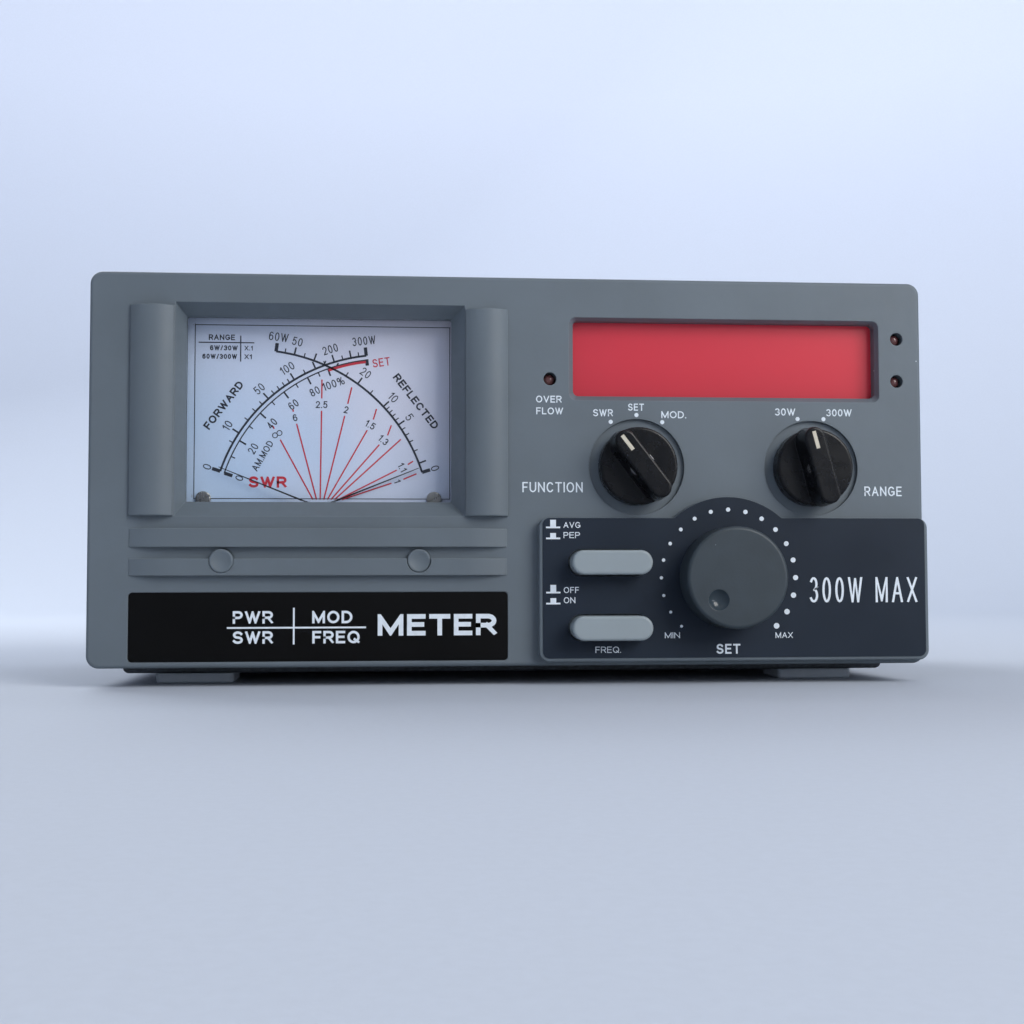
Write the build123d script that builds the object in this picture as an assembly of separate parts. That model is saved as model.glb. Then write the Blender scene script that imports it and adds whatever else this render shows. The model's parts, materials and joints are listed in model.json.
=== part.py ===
from build123d import *
import os

# Desk-top standing-wave-ratio and power meter with a built-in frequency counter.
# Millimetres. +X is to the right seen from the front, the front faces -Y, +Z is up.
# The origin is under the middle of the whole object, on the table its feet stand on.
# "Depth" always means millimetres behind the bezel's front face, negative in front of it.

# Whole object
BEZEL_WIDTH = 204.0
BEZEL_HEIGHT = 95.0
BEZEL_DEPTH = 16.0
CASE_DEPTH = 112.0
KNOB_REACH = 13.0
SOCKET_REACH = 18.0
UNDERSIDE = 4.6
SIDE = BEZEL_WIDTH / 2
TOP = UNDERSIDE + BEZEL_HEIGHT
FACE = (KNOB_REACH - CASE_DEPTH - SOCKET_REACH) / 2

# Bezel
WALL = 3.0
PLATFORM_RISE = 3.0
PLATFORM_LEFT = 5.5
PLATFORM_TOP = 40.5
LABEL_THICKNESS = 0.25
ARCH_RADIUS = 19.8
RAIL_RISE = 2.5
RAIL_WIDTH = 10.2
RAIL_OFFSETS = [-40.0, 40.2]
RAIL_BOTTOM = 40.8
RAIL_TOP = 91.5
RIDGE_RISE = 2.0
METER_X = -47.1
WINDOW_LEFT = -79.8
WINDOW_RIGHT = -15.3
WINDOW_BOTTOM = 44.5
WINDOW_TOP = 89.8
WINDOW_DEPTH = 5.0
SURROUND_BACK = 7.0
DISPLAY_X = 52.8
DISPLAY_LEFT = 14.5
DISPLAY_RIGHT = 90.6
DISPLAY_BOTTOM = 70.6
DISPLAY_TOP = 89.3
FILTER_DEPTH = 4.0
LED_HOLE = 1.6
OVERFLOW_LED = (8.64, 74.6)
STATUS_LEDS = [(95.9, 85.4), (95.8, 74.8)]
PLUGS = [(-70.25, 30.05, -2.3), (-23.35, 30.1, -1.5)]

# Controls
FUNCTION = (30.0, 53.05)
RANGE = (73.7, 52.9)
SET = (51.9, 25.85)
SET_RADIUS = 12.2
SET_DIMPLE = (-4.7, -5.3)
FUNCTION_ANGLE = 37.5
RANGE_ANGLE = 15.0
BUTTON_X = 22.6
BUTTON_HEIGHTS = [29.55, 13.85]
BUTTON_LENGTH = 19.4
BUTTON_WIDTH = 5.9
KNOB_RECESS = 11.8
SKIRT_RADIUS = 9.5
SHAFT_RADIUS = 3.0
RUNNING_GAP = 0.05
PLATE_DEPTH = 12.0

# Cross-needle meter
DIAL_X = -47.85
PIVOT_SPREAD = 16.4
PIVOT_HEIGHT = 36.9
NEEDLE_LENGTH = 44.2
NEEDLE_REST = 21.9
DIAL_DEPTH = 12.0
METER_BACK = 36.0
METER_BOTTOM = 25.0
METER_TOP = 93.0

# Case
CASE_HALF_WIDTH = 100.0
CASE_TOP = 98.6
CASE_BOTTOM = 5.6
SHEET = 1.0
PLINTH_HALF_WIDTH = 96.2
PLINTH_BOTTOM = 2.4
FOOT_X = 78.7
FOOT_DEPTHS = [23.5, 86.5]
TAB_POSITIONS = [-80.0, 0.0, 60.0]
TAB_HEIGHT = 10.3

# Rear
SOCKET_POSITIONS = [20.0, 72.0]
SOCKET_HEIGHT = 52.0
SOCKET_RADIUS = 7.94
SOCKET_SCREW_OFFSET = 9.1
JACK = (-70.0, 34.0)
STANDOFFS = [(-84.0, 48.0), (84.0, 48.0), (-84.0, 90.0), (84.0, 90.0)]
BOARD_BOTTOM = 12.0

CONTROL_BOSSES = [(7.5, 21.0), (93.0, 20.0), (7.5, 60.0), (93.0, 60.0)]
DISPLAY_BOSSES = [(6.0, 67.5), (93.9, 67.0), (6.0, 92.0), (93.9, 92.6)]
METER_BOSSES = [(-87.5, 50.0), (-87.5, 84.0), (-6.7, 50.0), (-6.7, 84.0)]
DIAL_SCREWS = [(-76.4, 45.6), (-19.4, 45.6)]


# Building blocks

def at_depth(outline, depth):
    """An outline drawn in X and Z, moved to a depth behind the bezel face."""
    return Plane.XZ.offset(-(FACE + depth)) * outline


def slab(outline, front, back):
    """An outline drawn in X and Z, filled between two depths."""
    return extrude(at_depth(outline, back), back - front)


def panel_rect(left, right, bottom, top, radius=0.0):
    """A rectangle seen from the front, with rounded corners if a radius is given."""
    centre = Pos((left + right) / 2, (bottom + top) / 2)
    if radius > 0:
        return centre * RectangleRounded(right - left, top - bottom, radius)
    return centre * Rectangle(right - left, top - bottom)


def block(left, right, front, back, bottom, top):
    """A plain box given by its sides, its two depths and its two heights."""
    return slab(panel_rect(left, right, bottom, top), front, back)


def rod(x, z, radius, front, back):
    """A cylinder running front to back."""
    return slab(Pos(x, z) * Circle(radius), front, back)


def hex_rod(x, z, radius, front, back):
    """A hexagonal bar running front to back, its radius measured to the corners."""
    return slab(Pos(x, z) * RegularPolygon(radius, 6), front, back)


def post(x, depth, radius, bottom, top):
    """An upright cylinder."""
    base = Pos(x, FACE + depth, bottom)
    return base * Cylinder(radius, top - bottom, align=(Align.CENTER, Align.CENTER, Align.MIN))


def joined(shapes):
    """Several shapes fused or kept together as one."""
    result = shapes[0]
    for shape in shapes[1:]:
        result += shape
    return result


def pan_screw(radius, length):
    """A pan-head cross-recess screw: head above the origin, shank below it."""
    head_height = radius * 1.2
    on_top = (Align.CENTER, Align.CENTER, Align.MIN)
    head = Cylinder(radius * 1.85, head_height, align=on_top)
    head = fillet(head.edges().sort_by(Axis.Z)[-1], head_height * 0.55)
    arm = Box(radius * 2.2, radius * 0.45, head_height, align=on_top)
    cross = arm + Rot(0, 0, 90) * arm
    shank = Cylinder(radius, length, align=(Align.CENTER, Align.CENTER, Align.MAX))
    shank = chamfer(shank.edges().sort_by(Axis.Z)[0], radius * 0.4)
    return head - Pos(0, 0, head_height * 0.5) * cross + shank


def screw_from_behind(x, z, depth, radius, length):
    """A screw driven forwards from the rear, its head resting at a depth."""
    return Pos(x, FACE + depth, z) * Rot(-90, 0, 0) * pan_screw(radius, length)


def socket_corners():
    """Where the screws of both rear sockets go, as X and Z pairs."""
    places = []
    for x in SOCKET_POSITIONS:
        for across in (-SOCKET_SCREW_OFFSET, SOCKET_SCREW_OFFSET):
            for up in (-SOCKET_SCREW_OFFSET, SOCKET_SCREW_OFFSET):
                places.append((x + across, SOCKET_HEIGHT + up))
    return places


# Bezel and what is fixed in its face

def rail(centre):
    """An upright half-round rail beside the meter window."""
    half = RAIL_WIDTH / 2
    base = FACE + 1.0
    shoulder = FACE - 0.7
    outline = make_face(
        Line((centre - half, base), (centre - half, shoulder))
        + ThreePointArc((centre - half, shoulder), (centre, FACE - RAIL_RISE), (centre + half, shoulder))
        + Line((centre + half, shoulder), (centre + half, base))
        + Line((centre + half, base), (centre - half, base))
    )
    body = extrude(Plane.XY.offset(RAIL_BOTTOM) * outline, RAIL_TOP - RAIL_BOTTOM)
    return fillet(body.edges().filter_by(GeomType.CIRCLE), 0.35)


def ridge(bottom, top):
    """A raised strip below the meter window that swells from nothing at both ends."""
    left = METER_X - 45.0
    right = METER_X + 45.0
    base = FACE + 1.0
    crest = FACE - RIDGE_RISE
    outline = make_face(
        Line((left, base), (left, FACE - 0.1))
        + ThreePointArc((left, FACE - 0.1), (left + 4.4, FACE - 1.42), (left + 11.0, crest))
        + Line((left + 11.0, crest), (right - 11.0, crest))
        + ThreePointArc((right - 11.0, crest), (right - 4.4, FACE - 1.42), (right, FACE - 0.1))
        + Line((right, FACE - 0.1), (right, base))
        + Line((right, base), (left, base))
    )
    return extrude(Plane.XY.offset(bottom) * outline, top - bottom)


def platform_outline(sides, top, radius):
    """The raised control area seen from the front, drawn in from its sides and its arched top."""
    bottom = UNDERSIDE + 1.0 + sides
    field = panel_rect(PLATFORM_LEFT + sides, SIDE - sides, bottom, PLATFORM_TOP - top, radius)
    arch = Pos(*SET) * Circle(ARCH_RADIUS - top) & panel_rect(0, SIDE, SET[1], TOP)
    outline = field + arch
    meets = outline.vertices().filter_by(lambda v: v.Y > PLATFORM_TOP - top - 0.2 and 30 < v.X < 75)
    return fillet(meets, 1.2)


def control_openings(margin, depth_front, depth_back):
    """The holes the two push buttons and the SET shaft pass through."""
    cuts = [rod(*SET, 4.4 + margin, depth_front, depth_back)]
    for height in BUTTON_HEIGHTS:
        slot = Pos(BUTTON_X, height) * SlotOverall(BUTTON_LENGTH + 0.5 + margin, BUTTON_WIDTH + 0.5 + margin)
        cuts.append(slab(slot, depth_front, depth_back))
    return joined(cuts)


def bezel_shell():
    """The open-backed tray that makes the bezel, with the collar the case slides over."""
    shell = slab(panel_rect(-SIDE, SIDE, UNDERSIDE, TOP, 3.0), 0, BEZEL_DEPTH)
    shell = fillet(shell.faces().sort_by(Axis.Y)[0].edges(), 0.9)
    inside = panel_rect(-SIDE + WALL, SIDE - WALL, UNDERSIDE + WALL, TOP - WALL, 1.5)
    shell -= slab(inside, WALL, BEZEL_DEPTH + 1)
    opening = panel_rect(-96.9, 96.9, -5.0, 95.5, 1.0)
    collar = slab(panel_rect(-99.5, 99.5, 12.0, 97.0) - opening, PLATE_DEPTH, BEZEL_DEPTH)
    collar += slab(panel_rect(-98.9, 98.9, 12.0, 97.5, 1.2) - opening, PLATE_DEPTH, BEZEL_DEPTH + 6)
    return shell + collar


def bezel_reliefs():
    """Everything that stands proud of the bezel's face or thickens it from behind."""
    rails = [rail(METER_X + offset) for offset in RAIL_OFFSETS]
    ridges = [ridge(33.4, 37.8), ridge(26.6, 30.6)]
    surround = block(-91.5, -2.5, WALL - 0.1, SURROUND_BACK, 39.0, 97.0)
    frame = block(12.0, 93.6, WALL - 0.1, FILTER_DEPTH, 68.0, 91.6)
    platform = slab(platform_outline(0, 0, 2.5), -PLATFORM_RISE, 1.5)
    platform = fillet(platform.faces().sort_by(Axis.Y)[0].edges(), 0.6)
    return joined(rails + ridges + [surround, frame, platform])


def meter_opening():
    """The window over the meter, with mitred sides sloping down to it."""
    outer = panel_rect(WINDOW_LEFT - 2.0, WINDOW_RIGHT + 3.1, WINDOW_BOTTOM - 3.7, WINDOW_TOP + 2.6)
    inner = panel_rect(WINDOW_LEFT, WINDOW_RIGHT, WINDOW_BOTTOM, WINDOW_TOP)
    slopes = loft([at_depth(outer, -0.01).face(), at_depth(inner, WINDOW_DEPTH).face()], ruled=True)
    above = slab(outer, -1.0, 0)
    window = slab(panel_rect(WINDOW_LEFT, WINDOW_RIGHT, WINDOW_BOTTOM, WINDOW_TOP, 0.5), 4.0, 9.0)
    return slopes + above + window


def display_opening():
    """The frequency display's window and the chamfered lip around it."""
    lip_front = panel_rect(DISPLAY_LEFT - 1.2, DISPLAY_RIGHT + 0.7, DISPLAY_BOTTOM - 1.2, DISPLAY_TOP + 0.6, 1.7)
    opening = panel_rect(DISPLAY_LEFT, DISPLAY_RIGHT, DISPLAY_BOTTOM, DISPLAY_TOP, 1.3)
    lip = loft([at_depth(lip_front, -0.01).face(), at_depth(opening, 1.6).face()], ruled=True)
    return lip + slab(opening, 1.5, FILTER_DEPTH + 1)


def bezel_cuts():
    """Every opening and shallow recess in the bezel's face."""
    cuts = [meter_opening(), display_opening()]
    cuts.append(slab(panel_rect(-92.2, -1.8, 6.0, 22.6, 1.0), -1.0, 0.45))
    cuts.append(block(PLATFORM_LEFT + WALL, SIDE - WALL, 0, WALL + 0.1, UNDERSIDE + WALL, 38.0))
    cuts.append(control_openings(0, -PLATFORM_RISE - 1, WALL + 1))
    for x, z in [FUNCTION, RANGE]:
        cuts.append(rod(x, z, KNOB_RECESS, -1, 1.0))
        cuts.append(rod(x, z, 5.0, 0, WALL + 1))
    for x, z in [OVERFLOW_LED] + STATUS_LEDS:
        cuts.append(rod(x, z, LED_HOLE, -1, WALL + 1))
    for x, z, front in PLUGS:
        cuts.append(rod(x, z, 2.9, -RIDGE_RISE - 1, WALL + 1))
    return cuts


def boss(x, z, front, back):
    """A moulded screw post with a blind hole for a self-tapping screw."""
    return rod(x, z, 3.0, front, back) - rod(x, z, 1.3, back - 7.5, back + 1)


def front_bezel():
    """The moulded grey front frame."""
    bezel = bezel_shell() + bezel_reliefs()
    for cut in bezel_cuts():
        bezel -= cut
    for x, z in CONTROL_BOSSES:
        front = -0.1 if z < 38 and x > 9 else WALL - 0.1
        bezel += boss(x, z, front, PLATE_DEPTH)
    for x, z in DISPLAY_BOSSES:
        bezel += boss(x, z, WALL - 0.1, 14.0)
    for x, z in METER_BOSSES:
        bezel += boss(x, z, SURROUND_BACK - 0.1, 16.0)
    for x in TAB_POSITIONS:
        bezel += boss(x, TAB_HEIGHT, WALL - 0.1 if x < 9 else -0.1, BEZEL_DEPTH)
    return bezel


def name_label():
    """The dark printed plate let into the bezel under the meter."""
    return slab(panel_rect(-92.1, -1.9, 6.1, 22.5, 0.9), 0.1, 0.45)


def control_label():
    """The dark printed plate glued on the raised control area, flush with its top edge."""
    plate = slab(platform_outline(0.95, 0.15, 1.6), -PLATFORM_RISE - LABEL_THICKNESS, -PLATFORM_RISE)
    return plate - control_openings(0.2, -PLATFORM_RISE - 1, 1)


def zero_adjust_plugs():
    """Two round dished plugs that close the holes over the meter's zero adjusters."""
    plugs = []
    for x, z, front in PLUGS:
        head = rod(x, z, 2.84, front, 3.0)
        head = fillet(head.edges().sort_by(Axis.Y)[0], 0.3)
        head -= Pos(x, FACE + front - 6.6, z) * Sphere(7.0)
        plugs.append(head + rod(x, z, 2.0, 3.0, 5.0))
    return joined(plugs)


def display_filter():
    """The red plastic window in front of the digits."""
    outline = panel_rect(DISPLAY_LEFT - 1.6, DISPLAY_RIGHT + 1.0, DISPLAY_BOTTOM - 1.1, DISPLAY_TOP + 0.9, 0.8)
    return slab(outline, FILTER_DEPTH, FILTER_DEPTH + 1.5)


# Meter movement

def meter_cover():
    """The clear moulded cover over the meter's dial and needles."""
    lens = (WINDOW_LEFT + 0.3, WINDOW_RIGHT - 0.3, WINDOW_BOTTOM + 0.3, WINDOW_TOP - 0.3)
    skirt = (METER_X - 35.9, METER_X + 35.9, METER_BOTTOM, METER_TOP)
    outside = slab(panel_rect(*lens, 0.6), 5.6, 7.3) + slab(panel_rect(*skirt, 1.0), 7.2, 16.0)
    lens_inside = (lens[0] + 0.9, lens[1] - 0.9, lens[2] + 0.9, lens[3] - 0.9)
    skirt_inside = (skirt[0] + 1.2, skirt[1] - 1.2, skirt[2] + 1.2, skirt[3] - 1.2)
    inside = slab(panel_rect(*lens_inside), 6.8, 9.0) + slab(panel_rect(*skirt_inside), 8.4, 17.0)
    return outside - inside


def terminal_places():
    """The four studs on the meter's back, two for each needle."""
    return [(METER_X + side * 20 + step * 5, 62.0) for side in (-1, 1) for step in (-1, 1)]


def meter_base():
    """The black tub that holds both movements, the dial and the lamps."""
    tub = slab(panel_rect(METER_X - 35.9, METER_X + 35.9, METER_BOTTOM, METER_TOP, 1.0), 16.0, METER_BACK)
    inside = panel_rect(METER_X - 34.4, METER_X + 34.4, METER_BOTTOM + 1.5, METER_TOP - 1.5)
    tub -= slab(inside, 15.0, METER_BACK - 1.5)
    for x, z in METER_BOSSES:
        outer = x - 3.5 if x < METER_X else x + 3.5
        inner = METER_X - 35.5 if x < METER_X else METER_X + 35.5
        ear = block(min(outer, inner), max(outer, inner), 16.0, 18.0, z - 4.5, z + 4.5)
        tub += ear - rod(x, z, 1.5, 15.0, 19.0)
    for x, z in DIAL_SCREWS:
        pillar = rod(x, z, 2.2, DIAL_DEPTH + 0.6, METER_BACK - 1.4)
        tub += pillar - rod(x, z, 0.9, DIAL_DEPTH, DIAL_DEPTH + 7)
        tub += rod(x, 88.0, 2.0, DIAL_DEPTH + 0.6, METER_BACK - 1.4)
    for x, z in terminal_places():
        tub -= rod(x, z, 1.6, METER_BACK - 2, METER_BACK + 1)
    return tub


def meter_dial():
    """The printed scale plate."""
    outline = panel_rect(METER_X - 34.3, METER_X + 34.3, 43.2, 91.2, 0.8)
    plate = slab(outline, DIAL_DEPTH, DIAL_DEPTH + 0.6)
    for x, z in DIAL_SCREWS:
        plate -= rod(x, z, 1.0, DIAL_DEPTH - 1, DIAL_DEPTH + 1)
    return plate


def dial_screws():
    """Two small cheese-head screws at the dial's lower corners."""
    screws = []
    for x, z in DIAL_SCREWS:
        head = rod(x, z, 1.9, DIAL_DEPTH - 0.9, DIAL_DEPTH)
        head = fillet(head.edges().sort_by(Axis.Y)[0], 0.35)
        slot = Pos(x, z) * Rot(0, 0, 25) * Rectangle(4.2, 0.45)
        head -= slab(slot, DIAL_DEPTH - 1.0, DIAL_DEPTH - 0.45)
        screws.append(head + rod(x, z, 0.85, DIAL_DEPTH, DIAL_DEPTH + 5))
    return joined(screws)


def pivot(side):
    """X and Z of a needle's pivot: side 1 is the forward needle's, side -1 the reflected needle's."""
    return DIAL_X + side * PIVOT_SPREAD, PIVOT_HEIGHT


def pillar_places(side):
    """The two pillars that carry one movement's bridges."""
    x, z = pivot(side)
    return [(x - 10.0, z), (x + 10.0, z)]


def meter_yokes():
    """The soft-iron rings around both coils, with ears for the pillars and stubs that hold the cores."""
    yokes = []
    for side in (-1, 1):
        x, z = pivot(side)
        ring = rod(x, z, 8.3, 15.4, 25.4) - rod(x, z, 7.1, 15.0, 26.0)
        bar = Pos(x, z) * Rot(0, 0, 38.3 * side) * Rectangle(15.4, 2.0)
        ring += slab(bar, 16.4, 24.4) - rod(x, z, 4.5, 15.0, 26.0)
        for px, pz in pillar_places(side):
            ring += rod(px, pz, 2.4, 19.4, 21.4) - rod(x, z, 7.6, 19.0, 22.0)
            ring -= rod(px, pz, 1.35, 19.0, 22.0)
        yokes.append(ring)
    return joined(yokes)


def meter_magnets():
    """The round core magnet inside each coil."""
    return joined([rod(*pivot(side), 4.45, 16.0, 24.8) for side in (-1, 1)])


def meter_bridges():
    """Pillars and cross bars that carry the needles' bearings, front and rear."""
    parts = []
    for side in (-1, 1):
        x, z = pivot(side)
        for px, pz in pillar_places(side):
            parts.append(rod(px, pz, 1.3, 8.6, METER_BACK - 1.5))
        for front, back in [(8.6, 9.3), (27.4, 28.6)]:
            bar = slab(Pos(x, z) * SlotOverall(24.0, 4.0), front, back)
            parts.append(bar - rod(x, z, 0.4 + RUNNING_GAP, front - 1, back + 1))
    return joined(parts)


def meter_terminals():
    """Brass studs with nuts on the back of the meter."""
    parts = []
    for x, z in terminal_places():
        parts.append(rod(x, z, 2.6, METER_BACK - 2.5, METER_BACK - 1.5))
        parts.append(rod(x, z, 1.5, METER_BACK - 1.5, METER_BACK + 8))
        parts.append(hex_rod(x, z, 3.2, METER_BACK, METER_BACK + 2))
    return joined(parts)


def meter_lamps():
    """Two small lamps behind the top of the dial."""
    lamps = []
    for side in (-1, 1):
        x = METER_X + side * 15
        bulb = rod(x, 78.0, 2.1, 20.0, METER_BACK - 1.5)
        bulb = fillet(bulb.edges().sort_by(Axis.Y)[0], 2.0)
        lamps.append(bulb)
    return joined(lamps)


def needle(side, plane_depth):
    """A knife-edge pointer with a balance tail, lying at rest low against its scale."""
    x, z = pivot(side)
    shoulder = NEEDLE_LENGTH - 8
    blade = Polyline((0, 0.32), (shoulder, 0.14), (NEEDLE_LENGTH, 0.08), (NEEDLE_LENGTH, -0.08),
                     (shoulder, -0.14), (0, -0.32), close=True)
    tail = Pos(-3.6, 0) * Rectangle(7.2, 0.9) + Pos(-6.6, 0) * Rectangle(1.6, 2.8)
    hub = Circle(1.7)
    flat = make_face(blade) + tail + hub
    turn = 180 - NEEDLE_REST if side == 1 else NEEDLE_REST
    pointer = slab(Pos(x, z) * Rot(0, 0, turn) * flat, plane_depth, plane_depth + 0.3)
    collet = rod(x, z, 1.1, plane_depth, plane_depth + 1.2)
    return pointer + collet - rod(x, z, 0.4, plane_depth - 1, plane_depth + 2)


def needle_coil(side):
    """The moving coil on its staff, turning round the core magnet."""
    x, z = pivot(side)
    turn = 180 - NEEDLE_REST if side == 1 else NEEDLE_REST
    place = Pos(x, z) * Rot(0, 0, turn)
    coil = slab(place * Rectangle(12.0, 2.0), 14.6, 26.2)
    coil -= slab(place * Rectangle(10.0, 3.0), 15.4, 25.4)
    staff = rod(x, z, 0.4, 8.7, 14.7) + rod(x, z, 0.4, 26.1, 28.5)
    return coil + staff


# Frequency display

def display_digits():
    """Six seven-segment digit blocks side by side."""
    digits = []
    for index in range(6):
        left = DISPLAY_X - 37.8 + index * 12.6
        digits.append(block(left + 0.03, left + 12.57, 6.0, 14.0, 70.2, 89.2))
    return joined(digits)


def display_board():
    """The circuit board behind the digits and the indicator lamps."""
    board = slab(panel_rect(3.0, 96.6, 64.8, 95.2, 1.0), 14.0, 15.6)
    for x, z in DISPLAY_BOSSES:
        board -= rod(x, z, 1.5, 13.0, 17.0)
    return board


def led(x, z):
    """A 3 mm lamp with its collar and two leads."""
    body = rod(x, z, 1.5, 1.3, 5.6)
    body = fillet(body.edges().sort_by(Axis.Y)[0], 1.4)
    leads = rod(x, z - 1.27, 0.25, 6.4, 14.0) + rod(x, z + 1.27, 0.25, 6.4, 14.0)
    return body + rod(x, z, 1.9, 5.5, 6.5) + leads


def overflow_led():
    """The overflow lamp left of the display."""
    return led(*OVERFLOW_LED)


def status_leds():
    """The two lamps right of the display."""
    return joined([led(x, z) for x, z in STATUS_LEDS])


# Switches and potentiometer behind the panel

def control_plate():
    """The steel plate the switches and the potentiometer are fixed to."""
    plate = slab(panel_rect(4.0, 96.0, 9.0, 64.0, 2.0), PLATE_DEPTH, PLATE_DEPTH + SHEET)
    for x, z in [FUNCTION, RANGE]:
        plate -= rod(x, z, 4.6, PLATE_DEPTH - 1, PLATE_DEPTH + 2)
    plate -= rod(*SET, 3.6, PLATE_DEPTH - 1, PLATE_DEPTH + 2)
    for height in BUTTON_HEIGHTS:
        opening = panel_rect(BUTTON_X - 2.2, BUTTON_X + 2.2, height - 2.2, height + 2.2)
        plate -= slab(opening, PLATE_DEPTH - 1, PLATE_DEPTH + 2)
    for x, z in CONTROL_BOSSES:
        plate -= rod(x, z, 1.5, PLATE_DEPTH - 1, PLATE_DEPTH + 2)
    plate -= rod(TAB_POSITIONS[2], TAB_HEIGHT, 3.4, PLATE_DEPTH - 1, PLATE_DEPTH + 2)
    return plate


def bushing_mount(x, z, body_radius, body_back, bushing_radius):
    """A round switch or potentiometer case with a threaded bushing for its shaft."""
    body = rod(x, z, body_radius, PLATE_DEPTH + SHEET, body_back)
    body = chamfer(body.edges().sort_by(Axis.Y)[-1], 0.8)
    body += rod(x, z, bushing_radius, 6.0, PLATE_DEPTH + SHEET + 0.5)
    return body - rod(x, z, SHAFT_RADIUS + RUNNING_GAP, 5.0, body_back - 1.5)


def rotary_switches():
    """The function switch and the range switch, with solder tags round their backs."""
    switches = []
    for x, z in [FUNCTION, RANGE]:
        switch = bushing_mount(x, z, 11.0, 22.0, 4.5)
        for step in range(12):
            tag = Pos(x, z) * Rot(0, 0, step * 30 + 15) * Pos(8.6, 0) * Rectangle(0.5, 1.8)
            switch += slab(tag, 21.9, 26.0)
        switches.append(switch)
    return joined(switches)


def set_potentiometer():
    """The potentiometer behind the SET knob."""
    x, z = SET
    body = bushing_mount(x, z, 8.2, 21.0, 3.5)
    for step in (-1, 0, 1):
        body += block(x + step * 5 - 0.9, x + step * 5 + 0.9, 15.0, 15.6, z - 13.0, z - 5.0)
    return body


def control_nuts():
    """The hexagonal nuts that clamp the three bushings to the plate."""
    nuts = []
    for x, z, size, bore in [(*FUNCTION, 7.0, 4.55), (*RANGE, 7.0, 4.55), (*SET, 5.8, 3.55)]:
        nut = hex_rod(x, z, size, PLATE_DEPTH - 2.6, PLATE_DEPTH - 0.5)
        nut += rod(x, z, size, PLATE_DEPTH - 0.5, PLATE_DEPTH)
        nuts.append(nut - rod(x, z, bore, PLATE_DEPTH - 4, PLATE_DEPTH + 1))
    return joined(nuts)


def push_switches():
    """Two latching push switches, each with a square bore for its plunger and six pins."""
    switches = []
    for height in BUTTON_HEIGHTS:
        body = block(BUTTON_X - 4.2, BUTTON_X + 4.2, PLATE_DEPTH + SHEET, 31.0, height - 4.2, height + 4.2)
        body = chamfer(body.edges().filter_by(Axis.Y), 0.5)
        half = 1.5 + RUNNING_GAP
        body -= block(BUTTON_X - half, BUTTON_X + half, 12.0, 27.0, height - half, height + half)
        for row in (-1, 1):
            for step in (-1, 0, 1):
                body += rod(BUTTON_X + row * 2.5, height + step * 2.5, 0.4, 30.9, 34.0)
        switches.append(body)
    return joined(switches)


# Moving controls

def bar_knob(x, z, turn):
    """A pointer knob: a round skirt under a tapered finger bar."""
    skirt = rod(x, z, SKIRT_RADIUS, -3.9, 0.4)
    skirt = fillet(skirt.edges().sort_by(Axis.Y)[0], 0.7)
    place = Pos(x, z) * Rot(0, 0, turn)
    low = place * SlotOverall(19.8, 7.2, rotation=90)
    high = place * SlotOverall(19.0, 4.9, rotation=90)
    bar = loft([at_depth(low, -3.0).face(), at_depth(high, -10.0).face()], ruled=True)
    bar = fillet(bar.faces().sort_by(Axis.Y)[0].edges(), 0.6)
    knob = skirt + bar - rod(x, z, SHAFT_RADIUS + 0.02, -8.0, 1.0)
    return knob - slab(pointer_outline(x, z, turn, 0.02), -11.0, -9.7)


def pointer_outline(x, z, turn, margin):
    """The inlaid line near the pointing end of a bar knob."""
    return Pos(x, z) * Rot(0, 0, turn) * Pos(0, 6.35) * Rectangle(0.9 + margin, 4.3 + margin)


def bar_pointer(x, z, turn):
    """The cream line let into the top of a bar knob."""
    return slab(pointer_outline(x, z, turn, 0), -10.05, -9.7)


def switch_shaft(x, z):
    """A switch shaft from inside its knob to inside its switch."""
    return rod(x, z, SHAFT_RADIUS, -7.9, 20.4)


def set_knob():
    """The large round knob with a finger dimple."""
    x, z = SET
    knob = rod(x, z, SET_RADIUS, -KNOB_REACH, -PLATFORM_RISE - 0.5)
    knob = fillet(knob.edges().sort_by(Axis.Y)[0], 0.9)
    knob -= Pos(x + SET_DIMPLE[0], FACE - KNOB_REACH - 1.6, z + SET_DIMPLE[1]) * Sphere(3.0)
    knob -= rod(x, z, 9.6, -PLATFORM_RISE - 4, -PLATFORM_RISE) - rod(x, z, 5.0, -PLATFORM_RISE - 5, 0)
    return knob - rod(x, z, SHAFT_RADIUS + 0.02, -10.5, 0)


def set_shaft():
    """The potentiometer's shaft."""
    return rod(*SET, SHAFT_RADIUS, -10.4, 19.4)


def push_button(height):
    """A pill-shaped push button with the square plunger that drives its switch."""
    cap = slab(Pos(BUTTON_X, height) * SlotOverall(BUTTON_LENGTH, BUTTON_WIDTH), -9.0, 3.0)
    cap = fillet(cap.edges().group_by(Axis.Y)[0], 0.7)
    return cap + block(BUTTON_X - 1.5, BUTTON_X + 1.5, 2.9, 18.0, height - 1.5, height + 1.5)


# Case

def vent(x, depth_front, depth_back, bottom, top):
    """A slot through the case top, running front to back."""
    middle = (depth_front + depth_back) / 2
    outline = Pos(x, FACE + middle) * SlotOverall(depth_back - depth_front, 2.4, rotation=90)
    return extrude(Plane.XY.offset(bottom) * outline, top - bottom)


def side_vent(depth, bottom, top):
    """An upright slot through both sides of the case."""
    outline = Pos(FACE + depth, (bottom + top) / 2) * SlotOverall(top - bottom, 2.4, rotation=90)
    return extrude(Plane.YZ * outline, SIDE + 5, both=True)


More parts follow.
